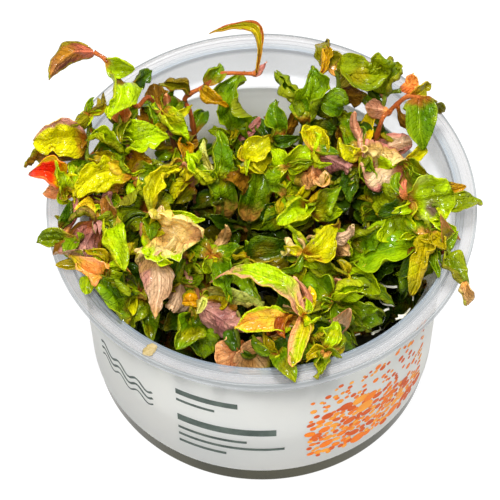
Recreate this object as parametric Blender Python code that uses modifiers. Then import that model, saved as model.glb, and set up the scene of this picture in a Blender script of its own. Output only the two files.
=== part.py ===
"""Rotala shoots crowded in a clear culture cup with a paper label, standing on a flat base.

Sizes are in millimetres and are turned to metres where the meshes are made. The origin is at the
middle of the cup's flat base, +Z is up and -Y is the front.
"""
import math
from itertools import product

import bmesh
import bpy
from mathutils import Quaternion, Vector
from mathutils.bvhtree import BVHTree
from mathutils.kdtree import KDTree

MM = 0.001
GAP = 0.3                     # between pieces that touch
WELD = 0.00005                # metres, well under any real distance

# The cup: radii and heights
CUP_HEIGHT = 59.0
FLANGE_RADIUS = 50.0
FLANGE_LIP = 2.0              # the turned-down edge of the flange
LIP_THICKNESS = 0.9
MOUTH_RADIUS = 45.15
COLLAR_DRAFT = 0.7            # how far the collar widens up to the mouth
STEP_HEIGHT = 48.6            # the step where a lid would seat
STEP_DRAFT = 1.4              # how far the step rises on its way out
WALL_TOP_RADIUS = 42.7
WALL_FOOT_RADIUS = 41.1
WALL = 1.1
BASE_THICKNESS = 1.2
FLOOR_CORNER = 1.6            # the slope between the floor and the wall, inside
FOOT_RADIUS = 40.4            # of the flat that the cup stands on
FOOT_CORNER = 0.8             # the height of the slope up from that flat
CUP_SIDES = 40

# The paper label and the growing medium
LABEL_FOOT = 6.8
LABEL_TOP = 46.0
LABEL_THICKNESS = 0.35
GEL_TOP = 10.0

# Stems and leaves
STEM_RADIUS = 0.75
STEM_TIP_RADIUS = 0.55
STEM_SPACING = 2.3            # least distance between the middles of two stems
LEAF_STAGGER = 1.5            # between the leaves of one node, down the stem
STAGGER_SHARE = 0.8           # the most of the stem below a node that those leaves take up
ROOT_REACH = 36.0             # roots stay this close to the cup's middle
ROOT_DRAW = 0.8               # a root stands at this share of its first node's distance from there
BLADE_THICKNESS = 0.7
BLADE_FOLD = 15.0             # degrees that each half of a blade stands up from flat
PETIOLE_WIDTH = 0.9

# Shoots are measured along lines of sight from one viewpoint, high in front of the cup. The
# numbers u and v are where such a line crosses the plane of the rim, and h is how far above that
# plane the point stands on the line.
VIEWPOINT = Vector((-2.8, -366.2, 579.6))


def sight(u, v, h):
    """The point that stands h above the rim's plane on the line of sight through u, v."""
    start = Vector((u, v, CUP_HEIGHT))
    return start + (VIEWPOINT - start) * (h / (VIEWPOINT.z - CUP_HEIGHT))


def leaf(node, u, v, h, wide, turn=0, bow=1.0, twist=0, sway=0, fold=BLADE_FOLD, tint="green"):
    """A leaf: the node it grows from, the place of its tip, and how its blade lies.

    turn is how far the upper side is turned from the line of sight, so 180 shows the underside.
    bow lifts the middle of the midrib, sway bends it sideways, twist winds the blade along it.
    """
    return {"node": node, "tip": (u, v, h), "wide": wide, "turn": turn, "bow": bow,
            "twist": twist, "sway": sway, "fold": fold, "tint": tint}


# Each shoot: its stem's tint, its nodes from the lowest up as u, v, h, and its leaves.
SHOOTS = {
    "tall_left": ("orange", [(-25, 27.3, 6), (-29.5, 28, 11), (-33, 33, 15), (-35.2, 37.5, 18),
                             (-37, 42, 20), (-40, 44.5, 21)], [
        leaf(5, -50.5, 36.3, 19, 6, 165, 3.0, 20, -2, tint="mauve"),
        leaf(4, -29.7, 39.5, 20, 5, 15, 1.5, tint="green"),
        leaf(3, -35.5, 23.5, 17, 9.5, -10, 2.5, 15, -1.5, tint="lime"),
        leaf(2, -27, 38, 12, 4.5, 20, tint="deep_green"),
        leaf(1, -33, 23, 8, 5, 0, tint="green")]),
    "over_left": ("green", [(-39.5, 9, 1), (-40.8, 13, 4), (-41, 18, 7), (-40.5, 22.5, 9),
                            (-41, 26, 11)], [
        leaf(2, -53.8, 17.6, 9, 9, -12, 2.5, 20, 1.5, tint="lime"),
        leaf(1, -55.8, 12, 6, 6, 150, 2.0, -20, tint="brown"),
        leaf(4, -36.8, 31.5, 13, 3, 30, tint="olive"),
        leaf(3, -35.2, 19.3, 8, 1.8, 40, tint="deep_green"),
        leaf(1, -46, 2.5, 2, 5, 20, 1.0, tint="green")]),
    "red_bud": ("green", [(-39.5, 0.5, 0.5), (-43, 2, 2.6), (-46.5, 4.5, 4)], [
        leaf(2, -54.3, 8.6, 7, 8, 10, 3.5, 0, 1.5, 30, "scarlet"),
        leaf(2, -49.3, 13, 8, 5, -20, 1.5, tint="lime"),
        leaf(2, -50.3, 2.2, 3.5, 3.5, 30, tint="peach"),
        leaf(1, -45, 12, 6.5, 3, -15, tint="lime"),
        leaf(1, -38.5, 9.5, 2.5, 4.5, 30, tint="brown")]),
    "lower_left": ("pink", [(-39.5, -8.5, 0.5), (-43, -10, 2.4), (-46.5, -7.5, 3.4)], [
        leaf(1, -51.8, -11, 3, 5.5, -5, 1.0, tint="olive_green"),
        leaf(1, -44.8, -14.8, 2.2, 4.5, 15, tint="green"),
        leaf(2, -44.3, 0.5, 4, 3.6, 30, 1.0, tint="deep_green"),
        leaf(2, -42.5, 3, 6.5, 2.2, 170, 1.0, tint="pink"),
        leaf(2, -50.2, 1.6, 4.5, 2.2, 70, 0.5, 0, 1, tint="olive")]),
    "butter_left": ("green", [(-27, 3, -4), (-30.5, 8.3, 5)], [
        leaf(1, -43.8, 1.5, 6, 7, 5, 2.0, 0, 2.5, tint="lime_yellow"),
        leaf(1, -38.8, 13.5, 9, 8, -25, 1.5, tint="butter"),
        leaf(1, -26, 5, 4, 3.2, 20, tint="lime_yellow"),
        leaf(0, -37.5, 0.5, 0, 5, 160, tint="brown")]),
    "mauve_left": ("yellow", [(-33.5, -3.5, -3), (-35.6, -5.1, 2.6), (-38.5, -5.3, 4)], [
        leaf(2, -42, -14.2, 4, 8.5, 175, 1.5, 0, 1, tint="mauve_pink"),
        leaf(1, -39.6, -0.4, 5.5, 5, 185, 1.0, tint="mauve"),
        leaf(2, -43.5, -2.3, 6, 3.6, 150, 2.0, 0, -1.5, tint="butter"),
        leaf(1, -31.3, -19.6, 5, 6, -5, 2.0, 15, 1, tint="lime"),
        leaf(1, -43.2, 2, 3.5, 5.5, 165, 1.0, tint="mauve")]),
    "orange_curl": ("peach", [(-32.5, -15.5, -2), (-34, -16.5, 1.6), (-36.5, -18.8, 3)], [
        leaf(2, -43.6, -14.6, 3.8, 6.5, 12, 2.5, 0, -2, 25, "orange"),
        leaf(1, -40.5, -15.6, 3, 4, 10, tint="olive_yellow"),
        leaf(2, -47.2, -17, 2.4, 3.2, 10, 0.5, tint="olive_yellow"),
        leaf(1, -34.5, -20.2, 2, 3, 0, tint="lime")]),
    "red_oval": ("orange", [(-25, -1.5, -6), (-27, -3, -3), (-31, 0, -1.5), (-33.8, 2.4, 0)], [
        leaf(1, -36, -4.5, -2, 8.5, 5, 1.0, 0, 1.5, tint="olive_green"),
        leaf(3, -26.5, 3.3, -1.5, 5.5, -15, 1.5, tint="deep_green"),
        leaf(2, -28.5, -2.6, 1, 2.2, 15, tint="orange")]),
    "pendant": ("brown", [(-23.5, -10, -4), (-24.6, -15.4, 5)], [
        leaf(1, -24.4, -31.8, 4.5, 9, 178, 1.5, -10, 0.5, 10, "blush"),
        leaf(1, -21.4, -17.8, 6, 2.6, 150, 0.5, tint="orange"),
        leaf(1, -29.3, -14.4, 6.5, 4.5, 170, 0.8, tint="cream")]),
    "crumpled_cream": ("yellow", [(-22.5, -1, -6), (-25.6, -3.8, 6.5)], [
        leaf(1, -14, -10.4, 6.5, 11, 10, 2.5, -20, 1.5, 25, "cream"),
        leaf(1, -18.8, 9.9, 9.5, 7.5, -12, 2.5, 15, -2, 20, "lime_yellow"),
        leaf(1, -26, -13.8, 6, 5.5, 165, 1.5, 0, 0.5, tint="peach"),
        leaf(1, -13.2, -4.8, 8.5, 3.5, -10, 1.0, 0, 1, tint="lime")]),
    "bell_curl": ("green", [(-9, -4, -9), (-9.3, 3, -3), (-10.6, 6.5, 2)], [
        leaf(0, -9.6, 20.2, 8, 8, 0, 1.5, 10, 0, 20, "green"),
        leaf(2, -17.3, 14.6, 8, 7, -15, 2.0, 20, -1, 25, "lime"),
        leaf(2, -13.8, 18, 8, 4, -10, tint="pale"),
        leaf(0, -16.5, -1.5, -7, 4, 20, tint="deep_green")]),
    "ochre_fold": ("peach", [(-16.3, 6.5, 2), (-18.6, 11.5, 5.5)], [
        leaf(1, -26, 7.4, 6.5, 4.2, -15, 1.0, 0, 1, tint="olive_yellow"),
        leaf(1, -17.6, 17.3, 8.5, 5.5, 15, tint="ochre"),
        leaf(1, -16.6, 10.2, 7, 3.2, 0, tint="lime_yellow")]),
    "lime_fold": ("peach", [(-30.8, 14.5, 4), (-33, 20, 8), (-32.7, 23, 11)], [
        leaf(0, -21.2, 19, 9, 7.5, -10, 2.5, 20, -2, 25, "lime"),
        leaf(0, -24, 9.3, 5, 5.8, 15, 1.0, tint="ochre"),
        leaf(2, -32.4, 28.4, 14, 5.5, 0, 0.5, tint="orange"),
        leaf(1, -36.3, 28.8, 11, 4.5, 10, tint="deep_green"),
        leaf(0, -28.8, 9, 3, 3.6, 10, tint="olive_green")]),
    "star_left": ("orange", [(-16, 22, 3), (-18, 29, 8), (-17, 31.5, 10), (-13, 34, 12),
                             (-9.5, 37.5, 14), (-1, 37.5, 15)], [
        leaf(5, -12.4, 49.4, 20, 5.5, 15, 2.0, 30, 7, 20, "olive_yellow"),
        leaf(2, -24, 34, 12.5, 8.5, 10, 2.0, 0, 1, 25, "olive"),
        leaf(3, -10.3, 40.8, 14, 5, 15, 1.5, tint="green"),
        leaf(5, 1.4, 41, 17, 1.9, 160, tint="pink"),
        leaf(3, -8.4, 27.7, 11, 4.5, 10, tint="ochre"),
        leaf(1, -22, 24.5, 7, 5, 10, tint="green")]),
    "back_left": ("brown", [(-20.5, 16, 2), (-22, 21, 6), (-23.3, 26.5, 9)], [
        leaf(2, -17.8, 18.6, 8, 5.8, 5, 2.0, tint="lime"),
        leaf(1, -29.4, 27.5, 8, 6, 10, tint="green"),
        leaf(2, -22.6, 31.8, 11, 3, 170, tint="peach"),
        leaf(0, -14.8, 18.4, 3.5, 4.2, 170, tint="brown")]),
    "back_funnel": ("green", [(-6.5, 17, -2), (-7, 21, 2)], [
        leaf(1, -5.8, 37.6, 12, 9.5, -5, 2.0, 0, 0, 30, "green"),
        leaf(1, -12.2, 20.6, 6, 3.4, 10, tint="lime"),
        leaf(0, -0.2, 20.5, 2.5, 4, 10, tint="deep_green"),
        leaf(1, -0.6, 23.4, 6, 2.4, 165, tint="pink")]),
    "lime_brown": ("pale", [(-5, 6, -3), (-3.2, 11.6, 4)], [
        leaf(1, 1.8, 18.8, 7.5, 6, -10, 1.5, tint="lime_yellow"),
        leaf(1, -6.3, 6, 4, 6.5, 165, 1.0, tint="brown"),
        leaf(1, 2.6, 12.4, 6, 3.4, 10, tint="lime_yellow")]),
    "upright_green": ("green", [(-3, -7.5, -13), (-2.8, -5.5, -9)], [
        leaf(1, -0.8, 12.8, 1.5, 7.5, 0, 1.0, 0, -0.5, 10, "green"),
        leaf(0, -15, -5.5, -9, 5, 15, tint="deep_green"),
        leaf(0, 4.5, -7.5, -11, 4.5, 15, tint="deep_green")]),
    "tongue": ("green", [(3, 13, -2), (3.6, 18, 2.5)], [
        leaf(1, 2.8, 29, 9, 5.6, 0, 1.0, 0, 0.5, 10, "green"),
        leaf(1, 8.8, 18, 5, 4.4, 10, 1.5, tint="deep_green"),
        leaf(1, 8.2, 25, 7.5, 4, 170, tint="brown"),
        leaf(0, -2, 24.5, 2.5, 5, 10, tint="deep_green")]),
    "lime_centre": ("green", [(5, 3.5, -4), (6.2, 10, 3.5)], [
        leaf(1, 10.9, 16.8, 7.5, 5, 0, 1.2, tint="lime"),
        leaf(1, 2.8, 15.4, 7, 4, 10, tint="lime"),
        leaf(1, 11, 9.8, 4.5, 3.8, 160, tint="brown"),
        leaf(1, 1.2, 9.6, 5, 3.4, 10, tint="lime")]),
    "vee_centre": ("brown", [(4.5, -1.5, -5), (5, 1.3, -0.5)], [
        leaf(1, 1.6, 9.2, 3.4, 3.4, 0, 1.0, tint="green"),
        leaf(1, 5.6, 8, 3.5, 3.4, 5, 1.5, tint="lime"),
        leaf(1, 11.6, 5.8, 3.5, 3.6, 10, 1.0, tint="lime_yellow"),
        leaf(0, -0.5, -5.5, -6, 3.6, 15, tint="deep_green")]),
    "peach_crumple": ("orange", [(12.5, 8, -2), (12.6, 14.6, 7.5)], [
        leaf(1, 14.6, 5, 7.5, 8, 172, 3.0, 20, -1, 25, "peach_orange"),
        leaf(1, 15.3, 20.4, 9.5, 7, -5, 2.0, 0, -1.5, 15, "lime_yellow"),
        leaf(1, 20.5, 9.3, 7.5, 6, 165, 1.5, 0, 1.5, 20, "mauve_pink")]),
    "tall_back": ("green", [(9.5, 18, -2), (11, 22, 4), (14.3, 30, 9), (14.4, 37, 12)], [
        leaf(1, 12.2, 39.6, 12.5, 10, 5, 2.0, 0, 0.5, 20, "green"),
        leaf(1, 5, 37.5, 11.5, 8.5, -5, 2.0, 0, -0.5, 20, "green"),
        leaf(3, 16.6, 44.8, 15, 4, 10, tint="ochre"),
        leaf(2, 19.8, 27.5, 8.5, 6, 10, tint="green"),
        leaf(1, 17.6, 20.5, 5, 5.5, 15, tint="deep_green")]),
    "back_right": ("green", [(18, 26, 2), (18.7, 33, 7), (18.4, 38.3, 10)], [
        leaf(2, 32, 41.5, 13, 8.8, -12, 2.5, 20, 3, 20, "olive_green"),
        leaf(2, 15.6, 47.7, 13.5, 5, 10, 1.0, tint="olive"),
        leaf(1, 25.4, 41.8, 9, 4.4, 20, tint="khaki"),
        leaf(1, 24.8, 30.5, 6, 5.4, 165, tint="brown"),
        leaf(0, 12.5, 30, 3, 5, 10, tint="deep_green")]),
    "right_back": ("green", [(28.5, 24, 2), (30, 30.8, 7), (33.5, 32, 9)], [
        leaf(1, 31.3, 41.3, 11.5, 7.8, 0, 2.0, 0, 0, 25, "olive_green"),
        leaf(2, 36.8, 37, 12, 4.8, 150, 1.5, tint="orange"),
        leaf(1, 25.2, 41.2, 13.5, 3.2, 170, tint="mauve_pink"),
        leaf(1, 24, 35.5, 7.5, 4.5, 15, tint="deep_green")]),
    "right_top": ("orange", [(27.5, 19, 2), (30.5, 25.5, 6), (32.6, 28, 8.5), (35, 30.2, 10),
                             (38, 29.8, 11)], [
        leaf(4, 38.6, 15, 8, 7, -5, 2.0, 0, 1, 20, "green"),
        leaf(4, 43.2, 25, 10, 4, 10, tint="olive"),
        leaf(2, 35.6, 21.2, 8, 4.4, 165, tint="brown"),
        leaf(1, 25, 26.8, 7.5, 4.4, 165, tint="salmon"),
        leaf(4, 40.8, 34, 12, 3.4, 10, tint="olive_yellow")]),
    "ball_curl": ("lime", [(31, 6, -3), (33.6, 11.2, 4.5)], [
        leaf(1, 24.6, 14.8, 8.5, 6.5, 175, 3.0, 0, 1, 30, "tan"),
        leaf(1, 23.4, 10.6, 5, 5.5, 10, 2.0, 0, -2, 25, "olive_yellow"),
        leaf(1, 47.4, 4.2, 8, 9.5, 0, 2.0, 0, 4, 15, "green"),
        leaf(0, 24.5, 2.5, -3.5, 5.5, 15, tint="deep_green")]),
    "salmon_curl": ("yellow", [(22.8, 8, -2), (23.6, 13.4, 4)], [
        leaf(1, 22.6, 26, 10, 4.2, 165, 1.5, 0, 1, tint="salmon"),
        leaf(1, 19.6, 24.8, 6.5, 5.6, 0, 1.5, 0, 1, tint="green"),
        leaf(1, 27.5, 24.3, 8.5, 4, 15, 1.5, tint="yellow"),
        leaf(1, 35.2, 17.2, 9, 5, 170, 2.0, 20, 1.5, tint="blush")]),
    "right_edge": ("lime", [(32.5, -2.5, -3), (33.6, 0, 3.4)], [
        leaf(1, 44.2, 1.6, 4, 6.4, 0, 1.5, 0, 0.5, 20, "lime"),
        leaf(1, 35.2, -12.6, 4.5, 10, 0, 2.0, 0, 1.5, 15, "lime"),
        leaf(1, 43.4, -8, 6, 4.2, 175, 1.5, 0, 0.5, 20, "brick"),
        leaf(0, 24, -4.5, -4, 4.5, 15, tint="deep_green")]),
    "right_points": ("green", [(38.5, -4, 1), (41.5, -2.5, 3.5)], [
        leaf(1, 50.6, -2.8, 5, 6, 5, 1.5, 0, 0.5, 20, "olive_green"),
        leaf(1, 45.2, -9.4, 4.5, 5, 10, 1.0, tint="lime"),
        leaf(0, 39, 6, 1.5, 5, 20, tint="green")]),
    "right_pendant": ("green", [(38.8, -12, 0), (42.8, -15, 3.6), (45, -19, 3.6),
                                (46.2, -22.6, 3)], [
        leaf(1, 46.4, -23.2, 3.4, 6, -10, 1.0, 0, 1.8, 15, "olive_green"),
        leaf(3, 46.3, -29.2, 0.8, 4.2, 10, 0.5, 0, 0.5, 15, "tan"),
        leaf(0, 40, -20, 2.4, 3.2, 10, tint="green"),
        leaf(1, 44.6, -8.6, 4, 2.2, 10, tint="green")]),
    "right_front": ("green", [(35.5, -6.5, -3), (38.8, -9.6, 2.6)], [
        leaf(1, 34.3, -24.4, 2, 6.2, 5, 1.5, 0, 0.5, 15, "olive_yellow"),
        leaf(0, 27, -2, -4, 5, 15, tint="green")]),
    "big_green": ("green", [(33, -14.5, -12), (35.4, -13.2, -4)], [
        leaf(1, 20.2, -17.8, -1, 10.5, -5, 2.5, 0, -1, 15, "green"),
        leaf(1, 20, -21.6, -5, 6.5, 10, 1.5, 0, -1.5, 15, "deep_green")]),
    "blush_right": ("brown", [(14.5, -13, -5), (15.4, -9.8, 3.4)], [
        leaf(1, 21, -6.9, 5.5, 5, 172, 1.0, 0, -1, 20, "blush"),
        leaf(1, 20.2, -15.2, 5, 4.6, 170, 1.0, 0, 1, 20, "tan"),
        leaf(1, 14.2, -14.6, 3, 3.4, 165, tint="brown"),
        leaf(0, 11, -12.4, -1, 4, 10, tint="green")]),
    "cream_lip": ("lime", [(8.6, -19.5, -5), (9.4, -14.8, 2.8)], [
        leaf(1, 17, -6.6, 6.5, 8.5, 0, 2.0, 10, 2, 20, "lime_yellow"),
        leaf(1, 5.6, -14.2, 4.5, 5, 170, 2.0, 0, -1.5, 25, "cream"),
        leaf(1, 12.6, -18.7, 4, 3.8, 5, tint="lime"),
        leaf(1, 8.3, -22.6, 5, 3.4, 0, tint="lime_yellow"),
        leaf(1, 6, -6, 5, 3.6, -10, 1.5, 0, 2, tint="lime")]),
    "lime_middle": ("brown", [(12, -5, -6), (10.5, -1.6, 0.5)], [
        leaf(1, 3.8, -6.4, 4, 5.6, 5, 1.5, 0, 1, 20, "lime"),
        leaf(1, 17.4, 4, 4.5, 5.8, -10, 1.5, 0, 1, 20, "green"),
        leaf(1, 18.6, -3.2, 3.5, 4, 10, 1.5, tint="lime"),
        leaf(0, 20, 1.5, -4, 5, 15, tint="deep_green")]),
    "dark_middle": ("brown", [(19.5, -12.5, -10), (20.6, -10.8, -5)], [
        leaf(1, 28, -7.8, -3, 5.6, -5, 1.5, 0, 1, tint="green"),
        leaf(1, 27.6, -12.4, -6, 4.4, 10, tint="olive_green")]),
    "green_shade": ("green", [(25.5, -4, -12), (26.2, -1.5, -8)], [
        leaf(1, 28.2, 7.4, -3.5, 5.6, 0, 1.5, tint="green"),
        leaf(1, 32.6, -0.6, -6, 5, 10, tint="deep_green"),
        leaf(0, 19, 6, -10, 5.4, 15, tint="deep_green")]),
    "glossy_front": ("green", [(-12, -18, -6), (-11.6, -14.9, 0.4)], [
        leaf(1, -7.4, -27.4, 1.6, 6.2, 0, 1.5, 0, -0.5, 20, "green"),
        leaf(1, -13.2, -20.4, 1.4, 3.4, 10, tint="lime"),
        leaf(1, -7.6, -6.6, 3.4, 3.2, 172, 0.8, tint="tan"),
        leaf(1, -4.6, -12.6, 0.6, 4.2, 5, tint="green"),
        leaf(0, -16.5, -11, -5, 4.5, 10, tint="deep_green")]),
    "broad_dark": ("brown", [(-3.5, -17.5, -8), (-3.4, -15.8, -4)], [
        leaf(1, 7.2, -12.2, -1, 9, 5, 1.5, 0, 1, 15, "deep_green"),
        leaf(1, 6.6, -18.4, -3.5, 6, 10, 1.5, tint="deep_green"),
        leaf(1, -1, -26.6, -3, 5.4, 0, 1.5, 0, 1, tint="green")]),
    "long_twist": ("lime", [(7.6, -33, -5), (9.2, -31.4, 3)], [
        leaf(1, -9.8, -17.2, 8, 7.5, 40, 2.0, 0, 2.0, 12, "lime_pink"),
        leaf(1, 6.8, -46.4, 2.6, 6, 0, 1.5, 0, -1, 20, "lime_peach"),
        leaf(1, 7.4, -21.4, 7, 3, 165, 1.5, 0, -1.5, 20, "salmon"),
        leaf(1, 11, -24, 5.5, 3.4, 0, 1.0, tint="yellow")]),
    "gold_flat": ("orange", [(5, -38, -6), (6.2, -32.8, 0.5)], [
        leaf(1, -6.8, -34.6, 3.4, 6.5, 0, 2.0, -20, 1.5, 20, "gold"),
        leaf(1, 0.3, -36.2, 1, 3.4, 165, 1.0, tint="rust"),
        leaf(1, 2.8, -42.8, -0.2, 5.4, 165, 1.0, tint="tan")]),
    "front_tan": ("orange", [(-4.5, -39.5, -7), (-5.6, -40.6, -0.6)], [
        leaf(1, 0.8, -47, 2.6, 8.5, 175, 1.5, 0, 1, 15, "tan"),
        leaf(1, -11.3, -43.4, 1.8, 5.6, 172, 1.0, 0, 1, 15, "peach"),
        leaf(1, -8.6, -37.4, 1, 3.2, 170, tint="peach")]),
    "rim_green": ("green", [(0.5, -38.5, -9), (3, -41.3, -2)], [
        leaf(1, 7.1, -49.3, 2, 4.4, 5, 1.5, 0, -0.5, 20, "green"),
        leaf(0, -2.5, -44.3, -6, 4, 10, tint="olive")]),
    "front_star": ("yellow", [(13, -36, -6), (13.9, -41, 1)], [
        leaf(1, 11, -49.2, 2.6, 5.4, 0, 1.2, 0, -0.5, 20, "olive_green"),
        leaf(1, 16.8, -33.2, 2.5, 5.4, 0, 1.2, tint="lime"),
        leaf(1, 18.4, -38.6, 2.2, 4.4, 5, 1.0, tint="yellow"),
        leaf(1, 16.8, -45.6, 2, 3.6, 5, 1.0, tint="olive")]),
    "tan_blade": ("tan", [(9.4, -39.8, -6), (10.2, -37.4, -1)], [
        leaf(1, 20, -29.8, 3.4, 4.6, 175, 1.5, 0, -0.5, 20, "blush"),
        leaf(0, 14.5, -43, -4, 4, 10, tint="deep_green")]),
    "green_right_front": ("green", [(15.6, -30.8, -9), (15.8, -27.4, -2)], [
        leaf(1, 22.8, -23.2, 0.5, 7.6, 0, 1.5, 0, -1, 15, "lime"),
        leaf(1, 10.4, -19.6, -0.5, 7, 5, 2.0, tint="green"),
        leaf(1, 17.2, -21.6, 2.6, 4.4, 170, 1.0, tint="salmon"),
        leaf(0, 26.6, -29.6, -5, 4.6, 0, 1.0, tint="green"),
        leaf(0, 11.5, -33.5, -6, 4.6, 15, tint="deep_green")]),
    "olive_right_front": ("green", [(19.5, -22.5, -9), (19.2, -20.4, -5)], [
        leaf(1, 10.9, -12.4, -0.5, 6.6, 5, 2.0, tint="olive_green"),
        leaf(1, 26, -22.8, -6, 4.4, 10, tint="deep_green")]),
    "mauve_front": ("brown", [(-14.6, -25.5, -6), (-14.4, -28.4, -0.5)], [
        leaf(1, -5.4, -35.4, 1.8, 7, 172, 1.5, 0, 0.5, 20, "mauve_pink"),
        leaf(1, -18.3, -28, 1, 4.2, 10, tint="ochre"),
        leaf(1, -15.4, -32.4, 0.5, 3.6, 10, tint="olive_yellow"),
        leaf(0, 0.6, -29.2, -1.5, 5.4, 0, 1.0, 0, 0, 25, "pale")]),
    "front_left_green": ("green", [(-16.6, -31, -12), (-16.4, -32.2, -7)], [
        leaf(1, -19.6, -40.8, -3, 7.4, 0, 1.2, 0, 0, 10, "green"),
        leaf(1, -13, -42, -2.6, 6.6, 0, 1.2, 0, 0, 10, "green"),
        leaf(1, -7.4, -38.6, -3, 6, 0, 1.2, 0, 0.5, 15, "grey_green"),
        leaf(0, -22.5, -35, -9, 4.6, 15, tint="deep_green")]),
    "left_front_broad": ("brown", [(-26.5, -24.5, -10), (-27.8, -26.6, -4)], [
        leaf(1, -37.8, -21, 1.6, 8.5, 0, 1.5, 0, -1, 15, "green"),
        leaf(1, -30.6, -34.8, -1.6, 5.4, 0, 1.0, tint="olive_green"),
        leaf(1, -25, -38.2, -3, 5, 5, 1.0, tint="green"),
        leaf(0, -33.5, -17, -7, 5, 15, tint="deep_green")]),
    "tan_shade": ("brown", [(-18, -22.5, -10), (-18.6, -22.6, -5)], [
        leaf(1, -20.4, -29, -1.6, 6, 170, 1.0, tint="blush"),
        leaf(1, -13.2, -24.4, -3, 4.6, 10, 1.0, tint="green"),
        leaf(0, -19.6, -14.8, -6, 5.4, 10, tint="deep_green")]),
    "ochre_stem": ("ochre", [(-9, -25, -10), (-14.5, -18, -3.5), (-17.5, -14.5, -1),
                             (-20.8, -11.6, 1)], [
        leaf(3, -26.4, -17, 0.5, 4, 15, tint="olive_green"),
        leaf(2, -16.5, -22.4, -2.5, 2.2, 170, tint="salmon")]),
}

CUP_COLOUR = (0.82, 0.85, 0.86, 1)
LABEL_COLOUR = (0.86, 0.86, 0.84, 1)
GEL_COLOUR = (0.30, 0.29, 0.16, 1)
TINTS = {
    "lime": (0.44, 0.62, 0.02), "lime_yellow": (0.55, 0.55, 0.03), "yellow": (0.72, 0.62, 0.02),
    "butter": (0.68, 0.50, 0.06), "green": (0.20, 0.42, 0.01), "deep_green": (0.05, 0.17, 0.01),
    "grey_green": (0.20, 0.34, 0.06), "olive": (0.28, 0.28, 0.01), "olive_green": (0.24, 0.36, 0.01),
    "olive_yellow": (0.42, 0.38, 0.02), "khaki": (0.30, 0.25, 0.05),
    "ochre": (0.50, 0.28, 0.01), "gold": (0.70, 0.45, 0.03), "orange": (0.72, 0.22, 0.02),
    "scarlet": (0.75, 0.06, 0.01), "peach": (0.72, 0.32, 0.14), "peach_orange": (0.60, 0.25, 0.07),
    "salmon": (0.72, 0.38, 0.25), "blush": (0.62, 0.36, 0.26), "pink": (0.62, 0.26, 0.22),
    "mauve": (0.30, 0.13, 0.10), "mauve_pink": (0.45, 0.20, 0.16), "brick": (0.45, 0.16, 0.07),
    "rust": (0.30, 0.09, 0.01), "tan": (0.50, 0.30, 0.10), "brown": (0.14, 0.07, 0.01),
    "cream": (0.66, 0.55, 0.25), "pale": (0.50, 0.58, 0.20), "lime_pink": (0.60, 0.50, 0.15),
    "lime_peach": (0.58, 0.58, 0.08),
}

# Where a blade is cut across on its way from base to tip, as shares of its length, and how thick
# it is there as a share of its thickness. A blade narrower than NARROW_BLADE has one cut fewer.
BLADE_CUTS = ((0.0, 0.8), (0.3, 1.0), (0.68, 0.8))
NARROW_BLADE_CUTS = ((0.0, 0.8), (0.4, 1.0))
NARROW_BLADE = 6.0
OVATE_RISE = 0.6
OVATE_FALL = 0.8

# A leaf that would touch its neighbours is settled clear of them: shorter, turned, or nearer to or
# farther from the viewpoint, where it looks the same.
SETTLE_LENGTHS = (1.0, 0.85, 0.7, 0.55, 0.45)
SETTLE_TURNS = (0, 18, -18, 36, -36, 60, -60)
SETTLE_LIFTS = (0, 1.5, -1.5, 3, -3, 4.5, -4.5, 6, -6, 8, -8)
SHADED_TINTS = ("deep_green", "grey_green")
SETTLE_ROOTS = ((0, 0), (3, 0), (-3, 0), (0, 3), (0, -3), (4, 4), (-4, 4), (4, -4), (-4, -4),
                (7, 0), (-7, 0), (0, 7), (0, -7))


def clear_scene():
    """Remove every object that the scene holds."""
    for item in list(bpy.data.objects):
        bpy.data.objects.remove(item, do_unlink=True)


def material(name, colour, roughness, **settings):
    """A plain material of the piece's own colour."""
    made = bpy.data.materials.new(name)
    made.use_nodes = True
    shader = made.node_tree.nodes["Principled BSDF"]
    shader.inputs["Base Color"].default_value = colour
    shader.inputs["Roughness"].default_value = roughness
    shader.inputs["Metallic"].default_value = 0.0
    for socket, value in settings.items():
        shader.inputs[socket].default_value = value
    return made


def add_object(name, mesh, collection):
    """Put a mesh in the collection as an object of that name."""
    item = bpy.data.objects.new(name, mesh)
    collection.objects.link(item)
    return item


def turned(name, profile, sides, collection):
    """A turned solid: a closed profile of radius and height, its outer side running down."""
    mesh = bpy.data.meshes.new(name)
    outline = bmesh.new()
    points = [outline.verts.new((radius * MM, 0, height * MM)) for radius, height in profile]
    on_axis = profile[0][0] == 0
    ends = zip(points, points[1:] if on_axis else points[1:] + points[:1])
    for start, end in ends:
        outline.edges.new((start, end))
    outline.to_mesh(mesh)
    outline.free()
    item = add_object(name, mesh, collection)
    screw = item.modifiers.new("turn", "SCREW")
    screw.axis = "Z"
    screw.steps = sides
    screw.render_steps = sides
    screw.use_merge_vertices = True
    screw.merge_threshold = WELD
    screw.use_smooth_shade = True
    return item


def wall_radius(height):
    """The outer radius of the tapered wall at a height."""
    return WALL_FOOT_RADIUS + (WALL_TOP_RADIUS - WALL_FOOT_RADIUS) * height / STEP_HEIGHT


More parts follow.
